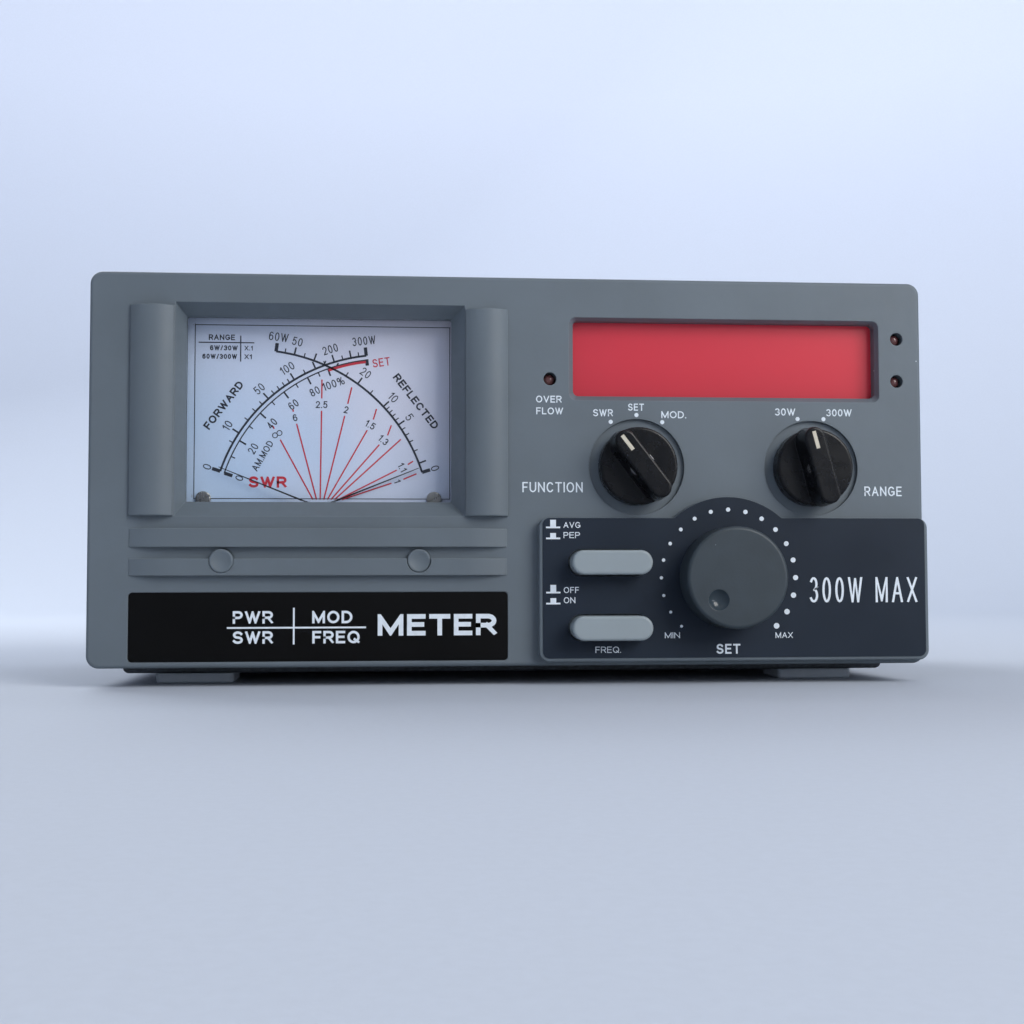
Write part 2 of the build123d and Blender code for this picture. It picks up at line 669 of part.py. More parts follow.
def top_cover():
    """The painted steel cover: top and both sides in one folded sheet."""
    cover = block(-CASE_HALF_WIDTH, CASE_HALF_WIDTH, BEZEL_DEPTH, CASE_DEPTH + 1.5, CASE_BOTTOM, CASE_TOP)
    folds = cover.edges().filter_by(Axis.Y).group_by(Axis.Z)[-1]
    cover = fillet(folds, 1.8)
    inside = block(-CASE_HALF_WIDTH + SHEET, CASE_HALF_WIDTH - SHEET, 10, 120, 0, CASE_TOP - SHEET)
    inside = fillet(inside.edges().filter_by(Axis.Y).group_by(Axis.Z)[-1], 0.8)
    cover -= inside
    for side in (-1, 1):
        for step in range(9):
            cover -= vent(side * 50 + (step - 4) * 5.5, 70, 98, CASE_TOP - 3, CASE_TOP + 1)
    for step in range(8):
        cover -= side_vent(58 + step * 5.5, 34, 62)
    for depth in (40.0, 96.0):
        hole = Pos(0, FACE + depth, 13.0) * Rot(0, 90, 0) * Cylinder(1.6, 220)
        cover -= hole
    return cover


def bottom_chassis():
    """The steel base tray with its dropped plinth, side flanges and front tabs."""
    plinth = block(-PLINTH_HALF_WIDTH, PLINTH_HALF_WIDTH, BEZEL_DEPTH, 96, PLINTH_BOTTOM, CASE_BOTTOM + SHEET)
    low = plinth.faces().sort_by(Axis.Z)[0].edges()
    tray = fillet(low, 1.4)
    tray += block(-98.9, 98.9, BEZEL_DEPTH, CASE_DEPTH, CASE_BOTTOM, CASE_BOTTOM + SHEET)
    tray -= block(-95.2, 95.2, 17.0, 95.0, PLINTH_BOTTOM + SHEET, 10)
    for side in (-1, 1):
        inner = side * 97.9
        outer = side * 98.9
        tray += block(min(inner, outer), max(inner, outer), 23.0, 102.0, CASE_BOTTOM + 0.5, 20.0)
    for x in TAB_POSITIONS:
        tab = block(x - 6, x + 6, 16.0, 17.0, 5.0, 14.2)
        tray += tab - rod(x, TAB_HEIGHT, 1.5, 15.0, 18.0)
    for depth in (40.0, 96.0):
        tray -= Pos(0, FACE + depth, 13.0) * Rot(0, 90, 0) * Cylinder(1.55, 220)
    for x in (-FOOT_X, FOOT_X):
        for depth in FOOT_DEPTHS:
            tray -= post(x, depth, 1.55, 0, 5)
    for x, depth in STANDOFFS:
        tray -= post(x, depth, 1.55, 0, 5)
    for x in (-60.0, 0.0, 60.0):
        tray -= post(x, 106.5, 1.6, 0, 8)
    return tray


def rear_panel():
    """The steel rear panel with its folded edges and its connector holes."""
    base = CASE_BOTTOM + SHEET
    panel = block(-98.8, 98.8, CASE_DEPTH - 1.2, CASE_DEPTH, base, 97.4)
    panel += block(-96.0, 96.0, 102.5, CASE_DEPTH - 1.1, base, base + SHEET)
    panel += block(-96.0, 96.0, 102.5, CASE_DEPTH - 1.1, 96.4, 97.4)
    for side in (-1, 1):
        inner = side * 97.6
        outer = side * 98.6
        panel += block(min(inner, outer), max(inner, outer), 102.6, CASE_DEPTH - 1.1, base, 97.4)
    for x in SOCKET_POSITIONS:
        panel -= rod(x, SOCKET_HEIGHT, 8.1, CASE_DEPTH - 3, CASE_DEPTH + 1)
    for x, z in socket_corners():
        panel -= rod(x, z, 1.6, CASE_DEPTH - 3, CASE_DEPTH + 1)
    panel -= rod(*JACK, 4.1, CASE_DEPTH - 3, CASE_DEPTH + 1)
    for x in (-60.0, 0.0, 60.0):
        panel -= post(x, 106.5, 1.6, base - 1, base + 2)
    for step in range(9):
        slot = Pos(-70 + step * 5.5, 70) * SlotOverall(22, 2.4, rotation=90)
        panel -= slab(slot, CASE_DEPTH - 3, CASE_DEPTH + 1)
    return panel


def rubber_feet():
    """Four rectangular feet with rounded lower edges, drilled for their screws."""
    feet = []
    for x in (-FOOT_X, FOOT_X):
        for depth in FOOT_DEPTHS:
            foot = block(x - 9.6, x + 9.6, depth - 7.5, depth + 7.5, 0, PLINTH_BOTTOM)
            foot = fillet(foot.edges().filter_by(Axis.Z), 1.2)
            foot = fillet(foot.faces().sort_by(Axis.Z)[0].edges(), 0.7)
            foot -= post(x, depth, 3.1, -1, 1.6)
            foot -= post(x, depth, 1.6, -1, 5)
            feet.append(foot)
    return joined(feet)


def feet_screws():
    """The low-head screws that hold the feet."""
    screws = []
    for x in (-FOOT_X, FOOT_X):
        for depth in FOOT_DEPTHS:
            head = post(x, depth, 2.9, 0.5, 1.6)
            cross = Pos(x, FACE + depth, 0.5) * (Box(3.4, 0.7, 1.0) + Box(0.7, 3.4, 1.0))
            screws.append(head - cross + post(x, depth, 1.5, 1.6, 6.4))
    return joined(screws)


def case_screws():
    """The screws through the cover's sides and up into the rear panel's lower fold."""
    screws = []
    for side in (-1, 1):
        for depth in (40.0, 96.0):
            place = Pos(side * CASE_HALF_WIDTH, FACE + depth, 13.0) * Rot(0, side * 90, 0)
            screws.append(place * pan_screw(1.5, 5.0))
    for x in (-60.0, 0.0, 60.0):
        screws.append(Pos(x, FACE + 106.5, CASE_BOTTOM) * Rot(180, 0, 0) * pan_screw(1.5, 5.0))
    return joined(screws)


def bezel_screws():
    """The self-tapping screws driven from behind into the bezel's posts."""
    screws = []
    for x in TAB_POSITIONS:
        screws.append(screw_from_behind(x, TAB_HEIGHT, BEZEL_DEPTH + SHEET, 1.25, 7.5))
    for x, z in CONTROL_BOSSES:
        screws.append(screw_from_behind(x, z, PLATE_DEPTH + SHEET, 1.25, 7.5))
    for x, z in DISPLAY_BOSSES:
        screws.append(screw_from_behind(x, z, 15.6, 1.25, 7.5))
    for x, z in METER_BOSSES:
        screws.append(screw_from_behind(x, z, 18.0, 1.25, 7.5))
    return joined(screws)


# Main board

def main_board():
    """The counter's circuit board, lying flat over the plinth."""
    outline = Pos(0, FACE + 70.0) * RectangleRounded(178, 54, 1.5)
    board = extrude(Plane.XY.offset(BOARD_BOTTOM) * outline, 1.6)
    for x, depth in STANDOFFS:
        board -= post(x, depth, 1.6, 10, 15)
    return board


def board_standoffs():
    """Hexagonal spacers under the main board."""
    spacers = []
    for x, depth in STANDOFFS:
        outline = Pos(x, FACE + depth) * RegularPolygon(3.2, 6)
        floor = PLINTH_BOTTOM + SHEET
        spacer = extrude(Plane.XY.offset(floor) * outline, BOARD_BOTTOM - floor)
        spacer -= post(x, depth, 1.3, BOARD_BOTTOM - 5, BOARD_BOTTOM + 1)
        spacers.append(spacer + post(x, depth, 1.45, PLINTH_BOTTOM, floor + 0.1))
    return joined(spacers)


def board_screws():
    """The screws through the main board's corners and the coupler's lid."""
    screws = []
    for x, depth in STANDOFFS:
        screws.append(Pos(x, FACE + depth, BOARD_BOTTOM + 1.6) * pan_screw(1.25, 5.0))
    for x, depth in lid_corners():
        screws.append(Pos(x, FACE + depth, 71.0) * pan_screw(1.25, 5.0))
    return joined(screws)


def board_capacitors():
    """Upright electrolytic capacitors."""
    sizes = [(-62, 60, 5.0, 16), (-48, 60, 5.0, 16), (-34, 60, 4.0, 12), (-62, 80, 6.3, 20)]
    cans = []
    for x, depth, radius, height in sizes:
        can = post(x, depth, radius, BOARD_BOTTOM + 1.6, BOARD_BOTTOM + 1.6 + height)
        can = fillet(can.edges().sort_by(Axis.Z)[-1], 0.6)
        cans.append(can)
    return joined(cans)


def chip(x, depth, pins):
    """A dual-in-line integrated circuit standing on its pins."""
    length = pins * 2.54
    top = BOARD_BOTTOM + 1.6
    body = block(x - length / 2, x + length / 2, depth - 3.2, depth + 3.2, top + 0.8, top + 4.2)
    for step in range(pins):
        for row in (-3.5, 3.5):
            px = x - length / 2 + 1.27 + step * 2.54
            body += block(px - 0.25, px + 0.25, depth + row - 0.35, depth + row + 0.35, top, top + 2.4)
    return body


def board_chips():
    """The counter's integrated circuits."""
    return joined([chip(-8, 58, 8), (chip(20, 58, 8)), chip(48, 58, 10), chip(-20, 82, 14)])


def cable_headers():
    """The two plug headers that the ribbon cable joins."""
    upper = block(10.0, 23.0, 15.6, 21.0, 66.8, 71.2)
    top = BOARD_BOTTOM + 1.6
    lower = block(10.0, 23.0, 66.8, 71.2, top, top + 6.0)
    return upper + lower


def ribbon_cable():
    """The flat cable from the display board, bent down to the main board."""
    bend = Pos(FACE + 63.7, 63.7)
    quarter = bend * (Circle(5.6) - Circle(5.0)) & bend * Pos(3, 3) * Rectangle(6, 6)
    level = Pos(FACE + 42.35, 69.0) * Rectangle(42.7, 0.6)
    drop = Pos(FACE + 69.0, (BOARD_BOTTOM + 7.6 + 63.7) / 2) * Rectangle(0.6, 56.1 - BOARD_BOTTOM)
    return extrude(Plane.YZ.offset(11.0) * (quarter + level + drop), 11.0)


# Directional coupler and rear connectors

def lid_corners():
    """The four screw posts in the coupler box, as X and depth."""
    return [(8.0, 80.0), (84.0, 80.0), (8.0, 105.0), (84.0, 105.0)]


def coupler_housing():
    """The open-topped metal box behind the rear sockets."""
    box = block(3.0, 89.0, 75.0, CASE_DEPTH - 1.2, 34.0, 70.0)
    box -= block(4.5, 87.5, 76.5, CASE_DEPTH - 2.7, 35.5, 71.0)
    for x, depth in lid_corners():
        box += post(x, depth, 3.0, 35.0, 70.0)
        box -= post(x, depth, 1.3, 62.0, 71.0)
    for x in SOCKET_POSITIONS:
        box -= rod(x, SOCKET_HEIGHT, 8.1, CASE_DEPTH - 4, CASE_DEPTH)
    for x, z in socket_corners():
        box -= rod(x, z, 1.6, CASE_DEPTH - 4, CASE_DEPTH)
    return box


def coupler_lid():
    """The coupler box's screwed lid."""
    lid = block(3.0, 89.0, 75.0, CASE_DEPTH - 1.2, 70.0, 71.0)
    for x, depth in lid_corners():
        lid -= post(x, depth, 1.5, 69.0, 72.0)
    return lid


def coupler_board():
    """The small board under the sensing cores, notched round the screw posts."""
    board = block(6.0, 86.0, 78.0, 107.0, 40.0, 41.6)
    for x, depth in lid_corners():
        board -= post(x, depth, 3.3, 39.0, 43.0)
    return board


def through_line():
    """The solid conductor that joins the two sockets' centre contacts."""
    left, right = SOCKET_POSITIONS
    bar = Pos((left + right) / 2, FACE + 95.0, SOCKET_HEIGHT) * Rot(0, 90, 0) * Cylinder(2.0, right - left)
    ends = rod(left, SOCKET_HEIGHT, 2.0, 95.0, 100.0) + rod(right, SOCKET_HEIGHT, 2.0, 95.0, 100.0)
    return bar + ends


def toroid_cores():
    """The two ferrite sensing cores threaded on the through line."""
    rings = []
    for x in (37.0, 55.0):
        disc = Cylinder(9.5, 8.0)
        rims = disc.faces().sort_by(Axis.Z)[0].edges() + disc.faces().sort_by(Axis.Z)[-1].edges()
        ring = fillet(rims, 1.0) - Cylinder(2.05, 10.0)
        rings.append(Pos(x, FACE + 95.0, SOCKET_HEIGHT) * Rot(0, 90, 0) * ring)
    return joined(rings)


def socket_shells():
    """Two square-flanged threaded coaxial sockets."""
    shells = []
    for x in SOCKET_POSITIONS:
        flange = panel_rect(x - 12.7, x + 12.7, SOCKET_HEIGHT - 12.7, SOCKET_HEIGHT + 12.7, 2.0)
        shell = slab(flange, CASE_DEPTH, CASE_DEPTH + 1.6)
        barrel = rod(x, SOCKET_HEIGHT, SOCKET_RADIUS, CASE_DEPTH - 5, CASE_DEPTH + SOCKET_REACH)
        barrel = chamfer(barrel.edges().sort_by(Axis.Y)[-1], 0.5)
        shell += barrel
        shell -= rod(x, SOCKET_HEIGHT, 6.2, CASE_DEPTH - 6, CASE_DEPTH + 20)
        for across in (-SOCKET_SCREW_OFFSET, SOCKET_SCREW_OFFSET):
            for up in (-SOCKET_SCREW_OFFSET, SOCKET_SCREW_OFFSET):
                shell -= rod(x + across, SOCKET_HEIGHT + up, 1.6, CASE_DEPTH - 1, CASE_DEPTH + 2)
        shells.append(shell)
    return joined(shells)


def socket_insulators():
    """The plastic cores that hold the sockets' centre contacts."""
    cores = []
    for x in SOCKET_POSITIONS:
        core = rod(x, SOCKET_HEIGHT, 6.15, CASE_DEPTH - 5, CASE_DEPTH + 11)
        core += rod(x, SOCKET_HEIGHT, 3.6, CASE_DEPTH + 11, CASE_DEPTH + 14)
        cores.append(core - rod(x, SOCKET_HEIGHT, 2.45, CASE_DEPTH - 6, CASE_DEPTH + 15))
    return joined(cores)


def socket_contacts():
    """The hollow centre contacts."""
    contacts = []
    for x in SOCKET_POSITIONS:
        contact = rod(x, SOCKET_HEIGHT, 2.4, 100.0, CASE_DEPTH + 13.5)
        contacts.append(contact - rod(x, SOCKET_HEIGHT, 1.9, CASE_DEPTH, CASE_DEPTH + 14))
    return joined(contacts)


def socket_screws():
    """The screws at the corners of both sockets' flanges."""
    screws = []
    for x, z in socket_corners():
        screws.append(Pos(x, FACE + CASE_DEPTH + 1.6, z) * Rot(-90, 0, 0) * pan_screw(1.5, 6.0))
    return joined(screws)


def dc_jack():
    """The round power inlet with its centre pin."""
    x, z = JACK
    body = rod(x, z, 5.5, 98.0, CASE_DEPTH - 1.2)
    body += rod(x, z, 4.0, CASE_DEPTH - 1.3, CASE_DEPTH + 3.0)
    body -= rod(x, z, 2.8, 101.0, CASE_DEPTH + 4)
    body += rod(x, z, 1.0, 100.5, CASE_DEPTH + 2.0)
    for step in (-1, 1):
        body += block(x + step * 3 - 1, x + step * 3 + 1, 94.0, 98.1, z - 0.3, z + 0.3)
    return body


def dc_jack_nut():
    """The nut that holds the power inlet."""
    x, z = JACK
    return hex_rod(x, z, 6.6, CASE_DEPTH, CASE_DEPTH + 2.2) - rod(x, z, 4.05, CASE_DEPTH - 1, CASE_DEPTH + 3)


NODES = {
    "front_bezel": front_bezel(),
    "name_label": name_label(),
    "control_label": control_label(),
    "zero_adjust_plugs": zero_adjust_plugs(),
    "display_filter": display_filter(),
    "top_cover": top_cover(),
    "bottom_chassis": bottom_chassis(),
    "rear_panel": rear_panel(),
    "rubber_feet": rubber_feet(),
    "feet_screws": feet_screws(),
    "case_screws": case_screws(),
    "bezel_screws": bezel_screws(),
    "control_plate": control_plate(),
    "meter_cover": meter_cover(),
    "meter_base": meter_base(),
    "meter_dial": meter_dial(),
    "dial_screws": dial_screws(),
    "meter_yokes": meter_yokes(),
    "meter_magnets": meter_magnets(),
    "meter_bridges": meter_bridges(),
    "meter_terminals": meter_terminals(),
    "meter_lamps": meter_lamps(),
    "display_digits": display_digits(),
    "display_board": display_board(),
    "overflow_led": overflow_led(),
    "status_leds": status_leds(),
    "rotary_switches": rotary_switches(),
    "set_potentiometer": set_potentiometer(),
    "control_nuts": control_nuts(),
    "push_switches": push_switches(),
    "main_board": main_board(),
    "board_standoffs": board_standoffs(),
    "board_screws": board_screws(),
    "board_capacitors": board_capacitors(),
    "board_chips": board_chips(),
    "cable_headers": cable_headers(),
    "ribbon_cable": ribbon_cable(),
    "coupler_housing": coupler_housing(),
    "coupler_lid": coupler_lid(),
    "coupler_board": coupler_board(),
    "toroid_cores": toroid_cores(),
    "through_line": through_line(),
    "socket_shells": socket_shells(),
    "socket_insulators": socket_insulators(),
    "socket_contacts": socket_contacts(),
    "socket_screws": socket_screws(),
    "dc_jack": dc_jack(),
    "dc_jack_nut": dc_jack_nut(),
    "function_knob": bar_knob(*FUNCTION, FUNCTION_ANGLE),
    "function_pointer": bar_pointer(*FUNCTION, FUNCTION_ANGLE),
    "function_shaft": switch_shaft(*FUNCTION),
    "range_knob": bar_knob(*RANGE, RANGE_ANGLE),
    "range_pointer": bar_pointer(*RANGE, RANGE_ANGLE),
    "range_shaft": switch_shaft(*RANGE),
    "set_knob": set_knob(),
    "set_shaft": set_shaft(),
    "avg_pep_button": push_button(BUTTON_HEIGHTS[0]),
    "freq_button": push_button(BUTTON_HEIGHTS[1]),
    "forward_needle": needle(1, 9.6) + needle_coil(1),
    "reflected_needle": needle(-1, 10.6) + needle_coil(-1),
}

for name, shape in NODES.items():
    export_step(shape, "parts/" + name + ".step")
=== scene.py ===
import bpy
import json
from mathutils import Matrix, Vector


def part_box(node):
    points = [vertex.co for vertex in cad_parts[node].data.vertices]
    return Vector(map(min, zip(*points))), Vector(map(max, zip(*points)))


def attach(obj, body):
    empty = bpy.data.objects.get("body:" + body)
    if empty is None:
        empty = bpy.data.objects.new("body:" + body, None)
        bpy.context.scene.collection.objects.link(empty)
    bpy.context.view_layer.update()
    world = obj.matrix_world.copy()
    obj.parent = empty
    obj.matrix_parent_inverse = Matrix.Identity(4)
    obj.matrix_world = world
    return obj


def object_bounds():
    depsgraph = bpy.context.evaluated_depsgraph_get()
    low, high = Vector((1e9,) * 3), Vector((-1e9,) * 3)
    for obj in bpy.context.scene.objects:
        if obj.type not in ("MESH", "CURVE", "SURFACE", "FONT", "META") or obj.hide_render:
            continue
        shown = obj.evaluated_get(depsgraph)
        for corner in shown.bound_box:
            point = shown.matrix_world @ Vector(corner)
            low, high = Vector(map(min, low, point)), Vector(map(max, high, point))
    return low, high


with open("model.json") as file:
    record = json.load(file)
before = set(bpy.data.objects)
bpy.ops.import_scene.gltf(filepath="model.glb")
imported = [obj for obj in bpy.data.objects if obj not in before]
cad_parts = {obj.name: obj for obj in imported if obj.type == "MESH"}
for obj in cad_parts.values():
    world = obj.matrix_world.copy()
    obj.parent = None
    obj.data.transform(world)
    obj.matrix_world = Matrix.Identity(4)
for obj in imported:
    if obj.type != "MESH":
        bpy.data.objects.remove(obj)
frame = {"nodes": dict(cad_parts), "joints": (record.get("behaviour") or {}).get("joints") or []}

# The looks of an SWR meter: materials for every CAD node, the printed scales and lettering,
# the cut threads of the coaxial sockets, and a pale stage. Metres, Z up, the front faces -Y.

import copy
import itertools
import json
import math

import bmesh
import bpy
from mathutils import Vector

CAD_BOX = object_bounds()
NODES = frame["nodes"]
JOINTS = {joint["name"]: joint for joint in frame["joints"]}
MM = 0.001
WAVE_BANDS = 20 / math.tau  # bands in one unit of a wave texture whose scale is 1
PRINT_THICKNESS = 0.04  # mm: how far a printed mark stands on its surface
MARK_LIFTS = (1.0, 1.15, 1.3, 1.45)  # shares of it, taken in turn, so that marks may cross
ARC_LIFT = 1.6
WELD_DISTANCE = 0.0005  # mm
ARC_STEP = math.radians(1.5)
DOT_SIDES = 20


# ---------------------------------------------------------------- colours and node graphs

def srgb(red, green, blue):
    """A screen colour of 0 to 255 as linear light."""
    parts = [value / 255 for value in (red, green, blue)]
    linear = [p / 12.92 if p <= 0.04045 else ((p + 0.055) / 1.055) ** 2.4 for p in parts]
    return (*linear, 1.0)


WHITE = (1.0, 1.0, 1.0, 1.0)
ACROSS = (1.0, 1.0, 1.0)
PRINCIPLED = {
    "metallic": "Metallic",
    "coat_weight": "Coat Weight",
    "coat_roughness": "Coat Roughness",
    "specular": "Specular IOR Level",
}


class Graph:
    """A material's node tree. Sizes are in millimetres of the object itself."""

    def __init__(self, name):
        self.material = bpy.data.materials.new(name)
        self.material.use_nodes = True
        self.tree = self.material.node_tree
        self.tree.nodes.clear()
        self.place = self.node("ShaderNodeTexCoord").outputs["Object"]

    def node(self, kind, inputs=None, **settings):
        made = self.tree.nodes.new(kind)
        for key, value in settings.items():
            setattr(made, key, value)
        for key, value in (inputs or {}).items():
            self.feed(made.inputs[key], value)
        return made

    def feed(self, socket, value):
        if isinstance(value, bpy.types.NodeSocket):
            self.tree.links.new(value, socket)
        else:
            socket.default_value = value

    def stretched(self, stretch):
        if stretch == ACROSS:
            return self.place
        inputs = {"Vector": self.place, "Scale": stretch}
        return self.node("ShaderNodeMapping", inputs).outputs["Vector"]

    def noise(self, size, detail=3.0, stretch=ACROSS):
        """Noise whose blobs are about size across, or longer where stretch is below 1."""
        inputs = {"Vector": self.stretched(stretch), "Scale": 1 / (size * MM), "Detail": detail}
        return self.node("ShaderNodeTexNoise", inputs).outputs["Fac"]

    def cells(self, size, output="Distance", feature="F1", stretch=ACROSS):
        inputs = {"Vector": self.stretched(stretch), "Scale": 1 / (size * MM)}
        return self.node("ShaderNodeTexVoronoi", inputs, feature=feature).outputs[output]

    def spread(self, value, low, high, start=0.3, end=0.7):
        """value's range from start to end, mapped to low to high."""
        inputs = {0: value, 1: start, 2: end, 3: low, 4: high}
        return self.node("ShaderNodeMapRange", inputs).outputs[0]

    def sum(self, first, second, how="ADD"):
        return self.node("ShaderNodeMath", {0: first, 1: second}, operation=how).outputs[0]

    def blend(self, share, first, second, how="MIX"):
        made = self.node("ShaderNodeMix", data_type="RGBA", blend_type=how)
        self.feed(made.inputs[0], share)
        self.feed(made.inputs[6], first)
        self.feed(made.inputs[7], second)
        return made.outputs[2]

    def shade(self, colour, amount):
        """colour times a grey amount."""
        return self.blend(1.0, colour, amount, "MULTIPLY")

    def along(self, axis, start, end):
        """0 to 1 between two places, in metres, along an axis of the object."""
        split = self.node("ShaderNodeSeparateXYZ", {0: self.place})
        return self.spread(split.outputs[axis], 0.0, 1.0, start, end)

    def over(self, node):
        """0 to 1 over a node's box, sideways and then upwards."""
        low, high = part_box(node)
        return self.along("X", low.x, high.x), self.along("Z", low.z, high.z)

    def edges(self, radius):
        """The normal rounded over edges, and a mask of how near each point is to an edge."""
        rounded = self.node("ShaderNodeBevel", {"Radius": radius * MM}, samples=4).outputs[0]
        flat = self.node("ShaderNodeNewGeometry").outputs["Normal"]
        inputs = {0: rounded, 1: flat}
        dot = self.node("ShaderNodeVectorMath", inputs, operation="DOT_PRODUCT")
        return rounded, self.spread(dot.outputs["Value"], 1.0, 0.0, 0.75, 0.995)

    def bump(self, height, relief, normal=None):
        """A bump whose height of 1 stands relief millimetres."""
        inputs = {"Height": height, "Distance": relief * MM, "Strength": 1.0}
        if normal is not None:
            inputs["Normal"] = normal
        return self.node("ShaderNodeBump", inputs).outputs[0]

    def specks(self, spacing, size, share):
        """A mask of scattered dust specks: one in each of a share of the cells."""
        near = self.spread(self.cells(spacing), 1.0, 0.0, 0.6 * size / spacing, size / spacing)
        split = self.node("ShaderNodeSeparateColor", {0: self.cells(spacing, "Color")})
        chosen = self.sum(split.outputs[0], share, "LESS_THAN")
        return self.sum(near, chosen, "MULTIPLY")

    def surface(self, colour, roughness, normal=None, **more):
        """Ends the graph with a Principled surface and returns the material."""
        inputs = {"Base Color": colour, "Roughness": roughness}
        inputs.update({PRINCIPLED[key]: value for key, value in more.items()})
        if normal is not None:
            inputs["Normal"] = normal
        shader = self.node("ShaderNodeBsdfPrincipled", inputs)
        return self.show(shader.outputs[0])

    def show(self, shader):
        """Ends the graph with a shader and returns the material."""
        self.node("ShaderNodeOutputMaterial", {"Surface": shader})
        return self.material

    def show_glass(self, tint, roughness, share):
        """Ends the graph with a clear tint that mirrors a share of what it faces."""
        clear = self.node("ShaderNodeBsdfTransparent", {"Color": tint})
        gloss = self.node("ShaderNodeBsdfGlossy", {"Color": WHITE, "Roughness": roughness})
        inputs = {0: share, 1: clear.outputs[0], 2: gloss.outputs[0]}
        return self.show(self.node("ShaderNodeMixShader", inputs).outputs[0])


# ---------------------------------------------------------------- families of materials

def moulded(name, colour, roughness=0.5, grain=0.7, relief=0.012, mottle=0.06, edge=0.3,
            wear_and_highlight=0.25, dust=0.0, **more):
    """Injection-moulded plastic: faint cloudiness, a fine satin grain, and softened edges, lightened
    partly as rubbed wear and partly as a painted highlight.
    """
    graph = Graph(name)
    clouds = graph.spread(graph.noise(22.0, 4.0), 1.0 - mottle, 1.0 + mottle)
    rounded, edge_mask = graph.edges(edge)
    tinted = graph.shade(colour, clouds)
    # Lighter edges: partly rubbed wear, partly a painted highlight where the edges catch the light.
    lightened_edges = graph.blend(graph.sum(edge_mask, wear_and_highlight, "MULTIPLY"), tinted, lighter(colour))
    if dust:
        lightened_edges = graph.blend(graph.specks(9.0, 0.22, dust), lightened_edges, srgb(215, 222, 228))
    fine = graph.noise(grain, 2.0)
    uneven = graph.spread(graph.noise(grain * 4, 3.0), roughness - 0.06, roughness + 0.06)
    return graph.surface(lightened_edges, uneven, graph.bump(fine, relief, rounded), **more)


def lighter(colour, share=0.3):
    return (*[part + (1.0 - part) * share for part in colour[:3]], 1.0)


def painted(name, colour, roughness=0.55, texture=0.9, relief=0.06, edge=0.4):
    """Sheet metal under a textured paint whose beads catch the light, thin on the edges."""
    graph = Graph(name)
    beads = graph.cells(texture, feature="SMOOTH_F1")
    fine = graph.noise(texture * 0.5, 3.0)
    height = graph.sum(beads, graph.sum(fine, 0.4, "MULTIPLY"))
    rounded, edge_mask = graph.edges(edge)
    clouds = graph.spread(graph.noise(30.0, 4.0), 0.88, 1.12)
    tops = graph.spread(beads, 1.15, 0.85, 0.1, 0.6)
    tinted = graph.shade(graph.shade(colour, clouds), tops)
    lightened_edges = graph.blend(graph.sum(edge_mask, 0.35, "MULTIPLY"), tinted, lighter(colour, 0.2))
    dusty = graph.blend(graph.specks(14.0, 0.25, 0.3), lightened_edges, srgb(170, 176, 182))
    return graph.surface(dusty, roughness, graph.bump(height, relief, rounded))


def metal(name, colour, roughness=0.3, lines=(1.0, 1.0, 0.02), scratch=0.25, relief=0.004,
          tarnish=0.12, edge=0.15):
    """Bare or plated metal: fine lines along the axis whose stretch is small, and light tarnish."""
    graph = Graph(name)
    brushed = graph.noise(scratch, 3.0, lines)
    clouds = graph.noise(6.0, 5.0)
    toned = graph.shade(colour, graph.spread(clouds, 1.0 - tarnish, 1.0 + tarnish * 0.4))
    lined = graph.shade(toned, graph.spread(brushed, 0.9, 1.06))
    rounded, edge_mask = graph.edges(edge)
    bright = graph.blend(graph.sum(edge_mask, 0.5, "MULTIPLY"), lined, lighter(colour))
    uneven = graph.sum(graph.spread(clouds, -0.05, 0.1), graph.spread(brushed, -0.05, 0.05))
    normal = graph.bump(brushed, relief, rounded)
    return graph.surface(bright, graph.sum(uneven, roughness), normal, metallic=1.0)


def ink(name, colour, roughness=0.45):
    """Screen-printed ink: a slightly uneven film with pinholes."""
    graph = Graph(name)
    film = graph.spread(graph.noise(1.2, 4.0), 0.93, 1.05)
    pinholes = graph.spread(graph.noise(0.18, 1.0), 0.8, 1.0, 0.2, 0.32)
    tone = graph.shade(graph.shade(colour, film), pinholes)
    return graph.surface(tone, roughness, graph.bump(graph.noise(0.5), 0.004))


def label_film(name, colour, roughness, specular):
    """A printed plate: an even satin film with orange peel and scattered dust."""
    graph = Graph(name)
    clouds = graph.noise(26.0, 3.0)
    tone = graph.shade(colour, graph.spread(clouds, 0.88, 1.14))
    dusty = graph.blend(graph.specks(7.0, 0.16, 0.4), tone, srgb(150, 158, 166))
    lint = graph.blend(graph.specks(12.0, 0.3, 0.18), dusty, srgb(92, 98, 106))
    rounded, _ = graph.edges(0.15)
    uneven = graph.spread(clouds, roughness - 0.04, roughness + 0.04)
    normal = graph.bump(graph.noise(1.6, 2.0), 0.003, rounded)
    return graph.surface(lint, uneven, normal, specular=specular)


# ---------------------------------------------------------------- one-off materials

def dial_paper(name):
    """The scale plate: off-white paint, with painted light on it: bluish and dimmer at the lower left,
    warmer and brighter at the upper right.
    """
    graph = Graph(name)
    sideways, upwards = graph.over("meter_dial")
    # Painted light: the tone slopes from cool shade at the lower left to warm light at the upper
    # right, with a little noise.
    painted_light_slope = graph.sum(graph.sum(sideways, 0.6, "MULTIPLY"), graph.sum(upwards, 0.4, "MULTIPLY"))
    waver = graph.sum(painted_light_slope, graph.spread(graph.noise(25.0, 2.0), -0.12, 0.12))
    share = graph.spread(waver, 0.0, 1.0, 0.1, 0.95)
    tone = graph.blend(share, srgb(192, 213, 237), srgb(224, 220, 230))
    fibre = graph.spread(graph.noise(0.5, 4.0), 0.975, 1.02)
    return graph.surface(graph.shade(tone, fibre), 0.6, graph.bump(graph.noise(0.4), 0.006))


